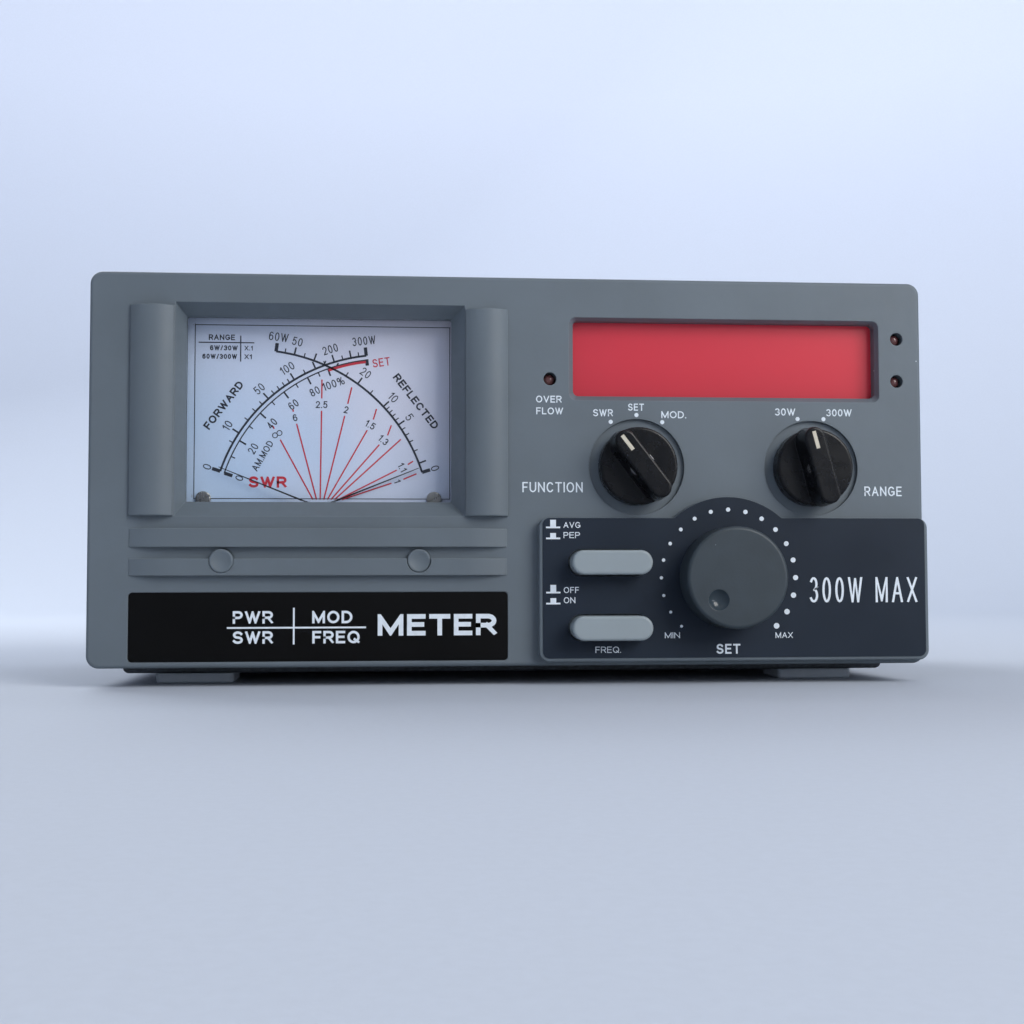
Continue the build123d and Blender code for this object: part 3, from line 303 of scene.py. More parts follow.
def clear_window(name):
    """Polished clear styrene: what is behind it shows, with a reflection that grows at a glance."""
    graph = Graph(name)
    fresnel = graph.node("ShaderNodeFresnel", {"IOR": 1.49}).outputs[0]
    behind = graph.node("ShaderNodeNewGeometry").outputs["Backfacing"]
    front = graph.sum(1.0, behind, "SUBTRACT")
    smears = graph.noise(7.0, 4.0, (1.0, 1.0, 0.5))
    haze = graph.spread(smears, 0.0, 0.02, 0.5, 0.75)
    share = graph.sum(graph.sum(fresnel, haze), front, "MULTIPLY")
    return graph.show_glass((0.99, 0.995, 1.0, 1.0), graph.spread(smears, 0.03, 0.1), share)


def red_window(name):
    """Deep red acrylic before dark digits: nearly even in colour, brighter through its middle, with
    painted shade towards the bottom.
    """
    graph = Graph(name)
    sideways, upwards = graph.over("display_filter")
    drift = graph.sum(graph.spread(graph.noise(30.0, 2.0), -0.15, 0.15), sideways)
    tone = graph.blend(graph.spread(drift, 0.0, 1.0, 0.0, 1.0), srgb(203, 52, 66), srgb(211, 50, 64))
    # Painted shade: darker towards the bottom of the window.
    shaded_low = graph.shade(tone, graph.spread(upwards, 0.92, 1.03, 0.0, 0.5))
    dusty = graph.blend(graph.specks(11.0, 0.16, 0.3), shaded_low, srgb(235, 170, 175))
    peel = graph.bump(graph.noise(5.0, 1.0), 0.01)
    return graph.surface(dusty, 0.3, peel, coat_weight=0.2, coat_roughness=0.08, specular=0.4)


def lamp_body(name, colour):
    """Tinted epoxy, unlit, with a darker core and a polished dome."""
    graph = Graph(name)
    facing = graph.node("ShaderNodeLayerWeight", {"Blend": 0.35}).outputs["Facing"]
    tone = graph.blend(facing, lighter(colour, 0.06), colour)
    uneven = graph.shade(tone, graph.spread(graph.noise(1.0), 0.85, 1.15))
    return graph.surface(uneven, 0.2, graph.bump(graph.noise(0.8), 0.004), coat_weight=1.0)


def bulb_glass(name):
    """A small glow lamp's glass, with the warm film that old bulbs carry."""
    graph = Graph(name)
    film = graph.spread(graph.noise(2.0, 3.0), 0.75, 1.0)
    fresnel = graph.node("ShaderNodeFresnel", {"IOR": 1.5}).outputs[0]
    return graph.show_glass(graph.shade(srgb(250, 240, 215), film), 0.05, graph.sum(fresnel, 0.08))


def circuit_board(name):
    """Green solder mask over copper: routed lines, pads, and glass weave in the relief."""
    graph = Graph(name)
    routes = graph.cells(4.0, feature="DISTANCE_TO_EDGE", stretch=(1.0, 0.35, 1.0))
    lines = graph.spread(routes, 1.0, 0.0, 0.04, 0.09)
    pads = graph.spread(graph.cells(5.0), 1.0, 0.0, 0.12, 0.16)
    mask = graph.blend(lines, srgb(14, 84, 46), srgb(40, 124, 66))
    tinned = graph.blend(pads, mask, srgb(196, 198, 190))
    weave = graph.noise(0.6, 2.0, (1.0, 0.3, 1.0))
    height = graph.sum(lines, graph.sum(weave, 0.2, "MULTIPLY"))
    return graph.surface(tinned, graph.spread(weave, 0.28, 0.4), graph.bump(height, 0.03))


def ferrite_core(name):
    """Sintered ferrite: dull charcoal with open pores."""
    graph = Graph(name)
    pores = graph.spread(graph.cells(0.5), 0.0, 1.0, 0.05, 0.3)
    tone = graph.shade(srgb(62, 62, 66), graph.spread(pores, 0.6, 1.0, 0.0, 1.0))
    return graph.surface(tone, 0.75, graph.bump(pores, 0.03))


RIDGE_PITCH = 2.507  # mm, on the ribbon cable


def flat_cable(name):
    """A grey ribbon with ridges along it, painted shade in the grooves between them, and one red edge.
    """
    graph = Graph(name)
    low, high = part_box("ribbon_cable")
    inputs = {"Vector": graph.place, "Scale": 1 / (RIDGE_PITCH * MM) / WAVE_BANDS}
    wires = graph.node("ShaderNodeTexWave", inputs, bands_direction="X").outputs["Fac"]
    first = graph.along("X", low.x + 1.2 * MM, low.x + 1.3 * MM)
    tone = graph.blend(first, srgb(168, 40, 40), srgb(166, 168, 172))
    # Painted shade: the grey is darker in the grooves between the wires.
    shade_in_grooves = graph.shade(tone, graph.spread(wires, 0.7, 1.0, 0.0, 0.4))
    return graph.surface(shade_in_grooves, 0.5, graph.bump(wires, 0.3))


def rubber(name, colour):
    """Moulded rubber feet: dull, dusty, and scuffed pale on the edges."""
    graph = Graph(name)
    dusting = graph.spread(graph.noise(3.0, 5.0), 0.0, 0.35, 0.5, 0.75)
    rounded, edge_mask = graph.edges(0.35)
    dusty = graph.blend(dusting, colour, lighter(colour, 0.18))
    scuffed = graph.blend(graph.sum(edge_mask, 0.4, "MULTIPLY"), dusty, lighter(colour, 0.25))
    return graph.surface(scuffed, 0.75, graph.bump(graph.noise(0.5, 3.0), 0.03, rounded))


DIMPLE_OFFSET = (-4.7, 0.0, -5.3)  # mm: from the middle of the set knob's face, at rest
DIMPLE_EDGE = (2.3, 2.7)  # mm: where the polish of the dimple ends
RING_PITCH = 0.987  # mm, between the turning rings


def dimpled_knob(name, colour):
    """The set knob: matte moulding with fine turning rings about its shaft and a polished dimple."""
    graph = Graph(name)
    centre = Vector(JOINTS["set_turn"]["pos_m"])
    inputs = {"Vector": graph.place, "Location": -centre}
    local = graph.node("ShaderNodeMapping", inputs).outputs["Vector"]
    scale = 1 / (RING_PITCH * MM) / WAVE_BANDS
    inputs = {"Vector": local, "Scale": scale, "Distortion": 0.6, "Detail": 1.0}
    rings = graph.node("ShaderNodeTexWave", inputs, wave_type="RINGS", rings_direction="Y")
    fine = graph.noise(0.5, 3.0)
    height = graph.sum(fine, graph.sum(rings.outputs["Fac"], 0.25, "MULTIPLY"))
    rounded, edge_mask = graph.edges(0.3)
    clouds = graph.shade(colour, graph.spread(graph.noise(6.0, 3.0), 0.92, 1.08))
    tone = graph.blend(graph.sum(edge_mask, 0.25, "MULTIPLY"), clouds, lighter(colour, 0.2))
    dusty = graph.blend(graph.specks(5.0, 0.14, 0.4), tone, srgb(170, 180, 186))
    dimple = Vector((centre.x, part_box("set_knob")[0].y, centre.z)) + Vector(DIMPLE_OFFSET) * MM
    away = graph.node("ShaderNodeVectorMath", {0: graph.place, 1: dimple}, operation="DISTANCE")
    start, end = (edge * MM for edge in DIMPLE_EDGE)
    polish = graph.spread(away.outputs["Value"], 0.12, 0.46, start, end)
    return graph.surface(dusty, polish, graph.bump(height, 0.012, rounded))


def make_looks():
    """One material for every material slot in the record."""
    return {
        "grey_bezel": moulded("grey_bezel", srgb(100, 110, 117), 0.5, dust=0.35),
        "black_label": label_film("black_label", srgb(11, 11, 12), 0.4, 0.22),
        "dark_label": label_film("dark_label", srgb(29, 40, 54), 0.42, 0.35),
        "red_filter": red_window("red_filter"),
        "case_paint": painted("case_paint", srgb(88, 93, 98)),
        "foot_rubber": rubber("foot_rubber", srgb(176, 184, 192)),
        "screw_steel": metal("screw_steel", srgb(196, 194, 188), 0.28),
        "plate_steel": metal("plate_steel", srgb(182, 186, 188), 0.38, (1.0, 1.0, 0.05)),
        "clear_cover": clear_window("clear_cover"),
        "pale_moulding": moulded("pale_moulding", srgb(214, 220, 226), 0.4, mottle=0.03, wear_and_highlight=0.1),
        "dial_paint": dial_paper("dial_paint"),
        "magnet_iron": metal("magnet_iron", srgb(112, 112, 116), 0.5, (1.0, 0.1, 1.0), tarnish=0.3),
        "turned_brass": metal("turned_brass", srgb(214, 176, 104), 0.3, (1.0, 0.05, 1.0), tarnish=0.2),
        "lamp_glass": bulb_glass("lamp_glass"),
        "digit_plastic": moulded("digit_plastic", srgb(74, 24, 26), 0.3, mottle=0.04),
        "board_green": circuit_board("board_green"),
        "led_red": lamp_body("led_red", srgb(96, 26, 22)),
        "black_moulding": moulded("black_moulding", srgb(32, 32, 34), 0.45, wear_and_highlight=0.12),
        "can_sleeve": moulded("can_sleeve", srgb(30, 48, 92), 0.3, grain=1.5, wear_and_highlight=0.1),
        "header_plastic": moulded("header_plastic", srgb(214, 208, 190), 0.5),
        "cable_plastic": flat_cable("cable_plastic"),
        "coupler_metal": metal("coupler_metal", srgb(200, 202, 204), 0.36, (0.05, 1.0, 1.0)),
        "ferrite": ferrite_core("ferrite"),
        "plated_metal": metal("plated_metal", srgb(208, 208, 206), 0.2, (1.0, 0.05, 1.0), tarnish=0.1),
        "white_insulator": moulded("white_insulator", srgb(226, 220, 200), 0.45, mottle=0.04),
        "knob_gloss": moulded("knob_gloss", srgb(22, 23, 26), 0.27, grain=0.9, relief=0.004,
                              mottle=0.04, wear_and_highlight=0.16, dust=0.2, specular=0.36),
        "cream_inlay": ink("cream_inlay", srgb(206, 198, 178), 0.5),
        "shaft_metal": metal("shaft_metal", srgb(196, 196, 198), 0.3, (1.0, 0.05, 1.0)),
        "knob_matte": dimpled_knob("knob_matte", srgb(56, 66, 73)),
        "button_grey": moulded("button_grey", srgb(146, 156, 160), 0.42, mottle=0.03, edge=0.35),
        "needle_paint": ink("needle_paint", srgb(22, 22, 25), 0.4),
    }


def dress_nodes(looks):
    """Gives every CAD node the material of its record slot."""
    for node in NODES.values():
        for slot in node.material_slots:
            slot.material = looks[slot.material.name.split(".")[0]]


# ---------------------------------------------------------------- a plain stroke alphabet

def bow(x, z, across, up, start, end, steps=10):
    """Points on an ellipse between two angles in degrees."""
    turns = [math.radians(start + (end - start) * i / steps) for i in range(steps + 1)]
    return [(x + across * math.cos(a), z + up * math.sin(a)) for a in turns]


def loop(x, z, across, up):
    points = bow(x, z, across, up, 0, 360, 20)
    return points[:-1] + points[:1]


INFINITY = "\u221e"
P_BOWL = [(0, 0), (0, 1), (0.58, 1), *bow(0.6, 0.73, 0.4, 0.27, 80, -80), (0.58, 0.46), (0, 0.46)]
D_BOWL = [(0, 0), (0, 1), (0.35, 1), *bow(0.38, 0.5, 0.62, 0.5, 75, -75), (0.35, 0), (0, 0)]
# Each sign is its width beside its height, then its strokes in a box of 1 by 1.
ALPHABET = {
    "A": (0.74, [(0, 0), (0.5, 1), (1, 0)], [(0.2, 0.34), (0.8, 0.34)]),
    "C": (0.72, bow(0.52, 0.5, 0.52, 0.5, 42, 318, 16)),
    "D": (0.68, D_BOWL),
    "E": (0.56, [(1, 0), (0, 0), (0, 1), (1, 1)], [(0, 0.52), (0.9, 0.52)]),
    "F": (0.52, [(0, 0), (0, 1), (1, 1)], [(0, 0.5), (0.88, 0.5)]),
    "G": (0.76, [*bow(0.5, 0.5, 0.5, 0.5, 42, 325, 16), (1, 0.18), (1, 0.45), (0.6, 0.45)]),
    "I": (0.0, [(0, 0), (0, 1)]),
    "L": (0.5, [(0, 1), (0, 0), (1, 0)]),
    "M": (0.84, [(0, 0), (0, 1), (0.5, 0.05), (1, 1), (1, 0)]),
    "N": (0.7, [(0, 0), (0, 1), (1, 0), (1, 1)]),
    "O": (0.8, loop(0.5, 0.5, 0.5, 0.5)),
    "P": (0.6, P_BOWL),
    "Q": (0.8, loop(0.5, 0.5, 0.5, 0.5), [(0.62, 0.28), (0.98, 0.0)]),
    "R": (0.64, P_BOWL, [(0.55, 0.46), (1, 0)]),
    "S": (0.64, [*bow(0.5, 0.75, 0.46, 0.25, 25, 270, 12), *bow(0.5, 0.25, 0.5, 0.25, 80, -155, 12)]),
    "T": (0.66, [(0, 1), (1, 1)], [(0.5, 0), (0.5, 1)]),
    "U": (0.68, [(0, 1), *bow(0.5, 0.35, 0.5, 0.35, 180, 360), (1, 1)]),
    "V": (0.72, [(0, 1), (0.5, 0), (1, 1)]),
    "W": (1.02, [(0, 1), (0.27, 0), (0.5, 0.95), (0.73, 0), (1, 1)]),
    "X": (0.68, [(0, 0), (1, 1)], [(0, 1), (1, 0)]),
    "0": (0.54, loop(0.5, 0.5, 0.5, 0.5)),
    "1": (0.24, [(0, 0.76), (1, 1), (1, 0)]),
    "2": (0.52, [*bow(0.5, 0.71, 0.5, 0.29, 165, -35), (0, 0), (1, 0)]),
    "3": (0.52, [*bow(0.47, 0.75, 0.45, 0.25, 150, -75), *bow(0.47, 0.26, 0.53, 0.26, 75, -150)]),
    "4": (0.56, [(0.72, 0), (0.72, 1), (0, 0.28), (1, 0.28)]),
    "5": (0.52, [(0.92, 1), (0.14, 1), (0.06, 0.52), *bow(0.46, 0.33, 0.54, 0.33, 125, -150)]),
    "6": (0.54, loop(0.5, 0.31, 0.5, 0.31), [(0, 0.31), *bow(0.55, 0.5, 0.55, 0.5, 180, 50)]),
    "8": (0.54, loop(0.5, 0.75, 0.43, 0.25), loop(0.5, 0.26, 0.5, 0.26)),
    "%": (0.95, loop(0.2, 0.76, 0.2, 0.24), loop(0.8, 0.24, 0.2, 0.24), [(0.25, 0), (0.75, 1)]),
    "/": (0.34, [(0, 0), (1, 1)]),
    INFINITY: (2.17, loop(0.27, 0.5, 0.23, 0.5), loop(0.73, 0.5, 0.23, 0.5)),
    ".": (0.0, [(0, 0), (0, 0.01)]),
    " ": (0.22,),
}
LETTER_GAP = 0.17  # of the height
STROKE_SHARE = 0.14  # of the height


def laid_out(words, height, width, stroke):
    """Each sign's strokes, its left edge and its width, for words centred on 0."""
    signs = [ALPHABET[letter] for letter in words]
    gaps = height * LETTER_GAP * (len(signs) - 1)
    strokes = stroke * len(signs)
    natural = sum(sign[0] for sign in signs) * (height - stroke)
    fit = 1.0 if width is None else (width - gaps - strokes) / natural
    whole = natural * fit + gaps + strokes
    left = -whole / 2 + stroke / 2
    places = []
    for sign in signs:
        span = sign[0] * (height - stroke) * fit
        places.append((sign[1:], left, span))
        left += span + stroke + height * LETTER_GAP
    return places


SHARPEST_MITRE = 0.6  # the cosine of half a turn, past which a corner is cut
SMALLEST_COSINE = 0.2  # keeps the longest mitre to five half widths


def stroke_sides(points, width, closed):
    """The left and right sides of a stroke: mitred where it turns, and square at its ends."""
    half = width / 2
    last = len(points) - 1
    sides = []
    for index, point in enumerate(points):
        arriving = leaving = None
        if closed or index > 0:
            arriving = (point - points[index - 1]).normalized()
        if closed or index < last:
            leaving = (points[(index + 1) % len(points)] - point).normalized()
        if arriving is None:
            sides.append(square_end(point - leaving * half, leaving, half))
        elif leaving is None:
            sides.append(square_end(point + arriving * half, arriving, half))
        else:
            sides += corner_sides(point, arriving, leaving, half)
    return sides


def left_of(direction):
    return Vector((-direction.y, direction.x))


def square_end(point, direction, half):
    side = left_of(direction) * half
    return point + side, point - side


def corner_sides(point, arriving, leaving, half):
    middle = (left_of(arriving) + left_of(leaving)).normalized()
    cosine = max(SMALLEST_COSINE, middle.dot(left_of(arriving)))
    mitre = middle * half / cosine
    if cosine > SHARPEST_MITRE:
        return [(point + mitre, point - mitre)]
    turns_left = arriving.x * leaving.y - arriving.y * leaving.x > 0
    outer = -1.0 if turns_left else 1.0
    first = point + left_of(arriving) * half * outer + arriving * half
    second = point + left_of(leaving) * half * outer - leaving * half
    if turns_left:
        return [(point + mitre, first), (point + mitre, second)]
    return [(first, point - mitre), (second, point - mitre)]


def join_rings(mesh, first, second):
    """The faces between two rings of vertices."""
    for corner in range(len(first)):
        after = (corner + 1) % len(first)
        mesh.faces.new((first[corner], first[after], second[after], second[corner]))


def turn_about(point, angle, x, z):
    """A point turned about the origin and then moved."""
    cosine, sine = math.cos(angle), math.sin(angle)
    return x + point[0] * cosine - point[1] * sine, z + point[0] * sine + point[1] * cosine


# ---------------------------------------------------------------- printed marks

class Print:
    """A layer of thin printed marks on one surface that faces -Y, or +Y when behind is true.

    Marks are given in millimetres about an origin, x to the reader's right and z up."""

    def __init__(self, name, surface, origin=(0.0, 0.0), behind=False):
        self.name = name
        self.surface = surface
        self.origin = Vector(origin)
        self.hand = -1.0 if behind else 1.0
        self.mesh = bmesh.new()
        self.lifts = itertools.cycle(MARK_LIFTS)

    def about(self, origin):
        """The same layer, with its marks about another origin in the frame."""
        layer = copy.copy(self)
        layer.origin = Vector(origin)
        return layer

    def vertex(self, x, z, lift):
        """A mesh vertex at a mark's place, lifted off the surface."""
        across = (self.origin.x + self.hand * x) * MM
        outward = self.surface - self.hand * lift * MM
        return self.mesh.verts.new((across, outward, (self.origin.y + z) * MM))

    def shape(self, outline, lift=None):
        """A filled outline, as a thin solid."""
        thickness = (lift or next(self.lifts)) * PRINT_THICKNESS
        back = [self.vertex(x, z, 0.0) for x, z in outline]
        front = [self.vertex(x, z, thickness) for x, z in outline]
        self.mesh.faces.new(back)
        self.mesh.faces.new(list(reversed(front)))
        join_rings(self.mesh, back, front)

    def bar(self, start, end, width):
        """A straight stroke between two points."""
        start, end = Vector(start), Vector(end)
        along = (end - start).normalized()
        side = Vector((-along.y, along.x)) * width / 2
        self.shape([start - side, end - side, end + side, start + side])

    def frame(self, left, bottom, right, top, width):
        """A ruled rectangle."""
        half = width / 2
        for z in (bottom, top):
            self.bar((left - half, z), (right + half, z), width)
        for x in (left, right):
            self.bar((x, bottom + half), (x, top - half), width)

    def dot(self, x, z, diameter):
        turns = [math.tau * i / DOT_SIDES for i in range(DOT_SIDES)]
        self.shape([(x + math.cos(a) * diameter / 2, z + math.sin(a) * diameter / 2) for a in turns])

    def arc(self, radius, start, end, width):
        """A band about the origin between two angles in degrees."""
        start, end = math.radians(start), math.radians(end)
        steps = max(2, int(abs(end - start) / ARC_STEP))
        turns = [start + (end - start) * i / steps for i in range(steps + 1)]
        outer = [polar(radius + width / 2, a) for a in turns]
        inner = [polar(radius - width / 2, a) for a in turns]
        self.shape(outer + list(reversed(inner)), ARC_LIFT)

    def tick(self, radius, length, degrees, width):
        """A radial stroke that starts at radius; a negative length runs inwards."""
        angle = math.radians(degrees)
        self.bar(polar(radius, angle), polar(radius + length, angle), width)

    def text(self, words, x, z, height, width=None, stroke=None, turn=0.0):
        """Words centred on a point, height tall, fitted to width, and turned in degrees."""
        stroke = stroke or height * STROKE_SHARE
        angle = math.radians(turn)
        rise = height - stroke
        limit = height if "." in words else height / 2
        for glyph, left, stretch in laid_out(words, height, width, stroke):
            for line in glyph:
                closed = line[0] == line[-1]
                points = [Vector((left + px * stretch, (pz - 0.5) * rise)) for px, pz in line]
                sides = stroke_sides(points[:-1] if closed else points, stroke, closed)
                cut = [[(px, max(-limit, min(limit, pz))) for px, pz in pair] for pair in sides]
                turned = [[turn_about(point, angle, x, z) for point in pair] for pair in cut]
                self.strip(turned, closed)

    def strip(self, sides, closed):
        """A thin solid between the left and right points of a stroke."""
        thickness = next(self.lifts) * PRINT_THICKNESS
        rows = [[self.vertex(*left, 0.0), self.vertex(*right, 0.0),
                 self.vertex(*right, thickness), self.vertex(*left, thickness)]
                for left, right in sides]
        following = rows[1:] + rows[:1] if closed else rows[1:]
        for first, second in zip(rows, following):
            join_rings(self.mesh, first, second)
        if not closed:
            self.mesh.faces.new(rows[0])
            self.mesh.faces.new(list(reversed(rows[-1])))

    def place(self, material, body, slot):
        """Makes the layer's mesh into a piece that rides on a body. The slot argument is not used."""
        bmesh.ops.remove_doubles(self.mesh, verts=self.mesh.verts, dist=WELD_DISTANCE * MM)
        bmesh.ops.recalc_face_normals(self.mesh, faces=self.mesh.faces)
        piece = link_mesh(self.name, self.mesh, material)
        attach(piece, body)


def polar(radius, angle):
    return radius * math.cos(angle), radius * math.sin(angle)


def link_mesh(name, mesh, material=None):
    """Ends a bmesh as an object in the scene."""
    data = bpy.data.meshes.new(name)
    mesh.to_mesh(data)
    mesh.free()
    if material is not None:
        data.materials.append(material)
    made = bpy.data.objects.new(name, data)
    bpy.context.scene.collection.objects.link(made)
    return made


def joint_place(joint):
    """Where a joint's axis meets the front, as x and z in millimetres."""
    place = JOINTS[joint]["pos_m"]
    return place[0] / MM, place[2] / MM


def middle_of(node):
    """The middle of a node seen from the front, as x and z in millimetres."""
    low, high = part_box(node)
    return (low.x + high.x) / 2 / MM, (low.z + high.z) / 2 / MM


# ---------------------------------------------------------------- the dial's scales

DIAL_LOW, DIAL_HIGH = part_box("meter_dial")
DIAL_FRONT = DIAL_LOW.y
FULL_SWEEP = 65.0  # degrees from 0 to the end of each power scale, about the scales' centres
FORWARD_START, REFLECTED_START, MODULATION_START = 161.6, 17.9, 161.8  # degrees, at 0
FORWARD_FULL, REFLECTED_FULL = 300, 60  # watts
FORWARD_POWER, REFLECTED_POWER = 0.45, 0.53  # how the angle grows with the watts
MODULATION_SLOPE, MODULATION_CURVE = 61.2, 9.6  # degrees, over the whole scale
SCALE_RISE = 2.0  # mm: how far each scale's centre lies above its needle's pivot
FORWARD_RADIUS, REFLECTED_RADIUS, MODULATION_RADIUS = 43.1, 44.0, 42.0
ARC_WIDTH, THIN_ARC_WIDTH = 0.5, 0.3
END_WIDTH = 0.85
TICK_SIZES = ((1.1, 0.28), (1.9, 0.4), (2.1, END_WIDTH))  # small, large and end: length, width
RULE_WIDTH, TABLE_RULE = 0.2, 0.27
RATIO_WIDTH = 0.34
FIGURE_STROKE = 0.24
FRAME_INSET, FRAME_BOTTOM, FRAME_TOP = 2.65, 2.5, 45.85  # mm, from the dial's sides and foot


def forward_angle(watts):
    return FORWARD_START - FULL_SWEEP * (watts / FORWARD_FULL) ** FORWARD_POWER


def reflected_angle(watts):
    return REFLECTED_START + FULL_SWEEP * (watts / REFLECTED_FULL) ** REFLECTED_POWER


def modulation_angle(percent):
    share = percent / 100
    return MODULATION_START - MODULATION_SLOPE * share + MODULATION_CURVE * share ** 3


def scale_centre(joint):
    """The centre of a needle's scale, as x and z in millimetres."""
    x, z = joint_place(joint)
    return x, z + SCALE_RISE


def draw_ticks(layer, radius, angle, small, large, ends, side=1):
    """Ticks of three sizes where a scale's formula puts each value; side is -1 for inwards."""
    for values, (length, width) in zip((small, large, ends), TICK_SIZES):
        for value in values:
            layer.tick(radius, side * length, angle(value), width)


def write_figures(layer, radius, angle, height, figures):
    """Figures standing on an arc at their own values, each given with its width."""
    for value, width in figures:
        write_on_arc(layer, str(value), radius, angle(value), height, width, FIGURE_STROKE)


def draw_forward_scale(dark):
    """Forward power, from 0 at the left to 300 W."""
    dark.arc(FORWARD_RADIUS, forward_angle(0), forward_angle(FORWARD_FULL), ARC_WIDTH)
    small = (5, 20, 30, 40, 60, 70, 80, 90, 125, 175, 225, 275)
    large = (10, 50, 100, 150, 200, 250)
    draw_ticks(dark, FORWARD_RADIUS, forward_angle, small, large, (0, FORWARD_FULL))
    figures = ((0, 1.25), (10, 2.2), (50, 2.5), (100, 3.6), (200, 3.8))
    write_figures(dark, 46.5, forward_angle, 2.1, figures)
    write_on_arc(dark, "300W", 46.9, forward_angle(298), 2.15, 5.8, FIGURE_STROKE)
    write_on_arc(dark, "FORWARD", 50.2, 143.2, 1.95, 14.2, 0.4)


def draw_reflected_scale(dark):
    """Reflected power, from 0 at the right to 60 W."""
    dark.arc(REFLECTED_RADIUS, reflected_angle(0), reflected_angle(REFLECTED_FULL), ARC_WIDTH)
    small = (1, 2, 3, 4, 6, 7, 8, 9, 15, 25, 35, 45, 55)
    large = (0.2, 5, 10, 20, 30, 40, 50)
    draw_ticks(dark, REFLECTED_RADIUS, reflected_angle, small, large, (0, REFLECTED_FULL))
    figures = ((0, 1.25), (5, 1.25), (10, 2.2), (20, 2.5), (50, 2.5))
    write_figures(dark, 47.4, reflected_angle, 2.1, figures)
    write_on_arc(dark, "60W", 47.7, reflected_angle(60) - 0.2, 2.15, 4.8, FIGURE_STROKE)
    write_on_arc(dark, "REFLECTED", 51.1, 37.9, 1.95, 16.7, 0.4)


def draw_modulation_scale(dark):
    """Modulation in per cent, just inside the forward scale, which its thin arc follows to the end."""
    end = forward_angle(FORWARD_FULL)
    dark.arc(MODULATION_RADIUS, modulation_angle(0), end, THIN_ARC_WIDTH)
    small, large = range(10, 100, 20), range(20, 120, 20)
    draw_ticks(dark, MODULATION_RADIUS, modulation_angle, small, large, (0,), -1)
    dark.tick(MODULATION_RADIUS + 0.2, -1.6, end, END_WIDTH)
    figures = ((0, 1.2), (20, 2.4), (40, 2.4), (60, 2.4), (80, 2.4))
    write_figures(dark, 38.1, modulation_angle, 2.0, figures)
    write_on_arc(dark, "100%", 38.0, modulation_angle(100), 2.0, 5.6, FIGURE_STROKE)
    write_on_arc(dark, "AM.MOD", 35.2, 150.2, 1.7, 8.2, FIGURE_STROKE)


def write_on_arc(layer, words, radius, degrees, height, width=None, stroke=None):
    """Words standing on an arc, upright along its radius."""
    x, z = polar(radius, math.radians(degrees))
    layer.text(words, x, z, height, width, stroke, degrees - 90)


# The ratio lines fan from a row of points near the needles' crossing. Each has the place of its
# figure, and the place where the line ends, in millimetres from the middle of the dial's foot.
RATIO_LINES = (
    (INFINITY, (-11.3, 18.6), (-12.4, 20.6)),
    ("6", (-6.94, 22.75), (-7.5, 24.9)),
    ("2.5", (-0.36, 26.1), (-0.31, 32.4)),
    ("2", (5.75, 24.85), (7.11, 30.5)),
    ("1.5", (11.75, 21.1), (13.29, 25.1)),
    ("1.3", (15.05, 17.3), (17.0, 21.0)),
    ("", (19.4, 17.5), (19.4, 17.5)),
    ("1.1", (19.75, 10.45), (22.46, 12.0)),
    ("1", (18.55, 6.95), (23.33, 8.85)),
)
FAN_LEFT, FAN_STEP, FAN_HEIGHT = -2.4, 0.89, 2.3
FIGURE_GAP = 1.55
FIGURE_HEIGHT = 1.75
INFINITY_HEIGHT = 1.45


def draw_ratio_lines(red, dark):
    """Red lines of equal ratio, each broken by its dark figure, which leans with the line."""
    for index, (figure, label, end) in enumerate(RATIO_LINES):
        start = Vector((FAN_LEFT + FAN_STEP * index, FAN_HEIGHT))
        label, end = Vector(label), Vector(end)
        if not figure:
            red.bar(start, end, RATIO_WIDTH)
            continue
        towards = (label - start).normalized()
        lean = math.degrees(math.atan2(towards.y, towards.x)) - 90
        height = INFINITY_HEIGHT if figure == INFINITY else FIGURE_HEIGHT
        dark.text(figure, label.x, label.y, height, turn=lean)
        red.bar(start, label - towards * FIGURE_GAP, RATIO_WIDTH)
        red.bar(label + towards * FIGURE_GAP, end, RATIO_WIDTH)


def draw_range_table(dark):
    """The small table of multipliers at the dial's upper left."""
    dark.text("RANGE", -25.1, 42.75, 1.4, 6.4, 0.26)
    dark.bar((-30.8, 41.45), (-17.1, 41.45), TABLE_RULE)
    dark.bar((-20.45, 36.7), (-20.45, 43.2), TABLE_RULE)
    dark.text("6W/30W", -24.6, 40.1, 1.25, 6.8, 0.25)
    dark.text("X.1", -18.5, 40.1, 1.15, 2.0, 0.2)
    dark.text("60W/300W", -25.6, 37.95, 1.25, 8.5, 0.26)
    dark.text("X1", -18.6, 37.95, 1.25, 1.8, 0.24)


def print_dial(black_ink, red_ink):
    """The scale plate's two printings: dark scales and figures, then red ratio lines."""
    foot = ((DIAL_LOW.x + DIAL_HIGH.x) / 2 / MM, DIAL_LOW.z / MM)
    dark = Print("dial_dark_printing", DIAL_FRONT, foot)
    red = Print("dial_red_printing", DIAL_FRONT, foot)
    forward = dark.about(scale_centre("forward_swing"))
    draw_forward_scale(forward)
    draw_modulation_scale(forward)
    draw_reflected_scale(dark.about(scale_centre("reflected_swing")))
    draw_ratio_lines(red, dark)
    draw_range_table(dark)
    edge = (DIAL_HIGH.x - DIAL_LOW.x) / 2 / MM - FRAME_INSET
    dark.frame(-edge, FRAME_BOTTOM, edge, FRAME_TOP, RULE_WIDTH)
    about_centre = red.about(scale_centre("forward_swing"))
    about_centre.arc(MODULATION_RADIUS - 0.45, modulation_angle(100), forward_angle(296), 0.6)
    about_centre.text("SET", -1.2, 41.2, 2.1, 4.4, 0.28, 9.0)
    red.text("SWR", -13.6, 6.65, 2.8, 9.3, 0.62)
    dark.place(black_ink, "chassis", "needle_paint")
    red.place(red_ink, "chassis", "led_red")


# ---------------------------------------------------------------- lettering on the face

SELECTOR_DOT_RING = 12.8
FACE_DOT = 1.05
FINEST, FINE = 0.19, 0.27  # mm: widths of stroke
LABEL_RECESS = 0.1  # mm: how far the name label lies below the bezel's main face


def face_surface():
    """Where the bezel's main face lies along Y."""
    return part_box("name_label")[0].y - LABEL_RECESS * MM


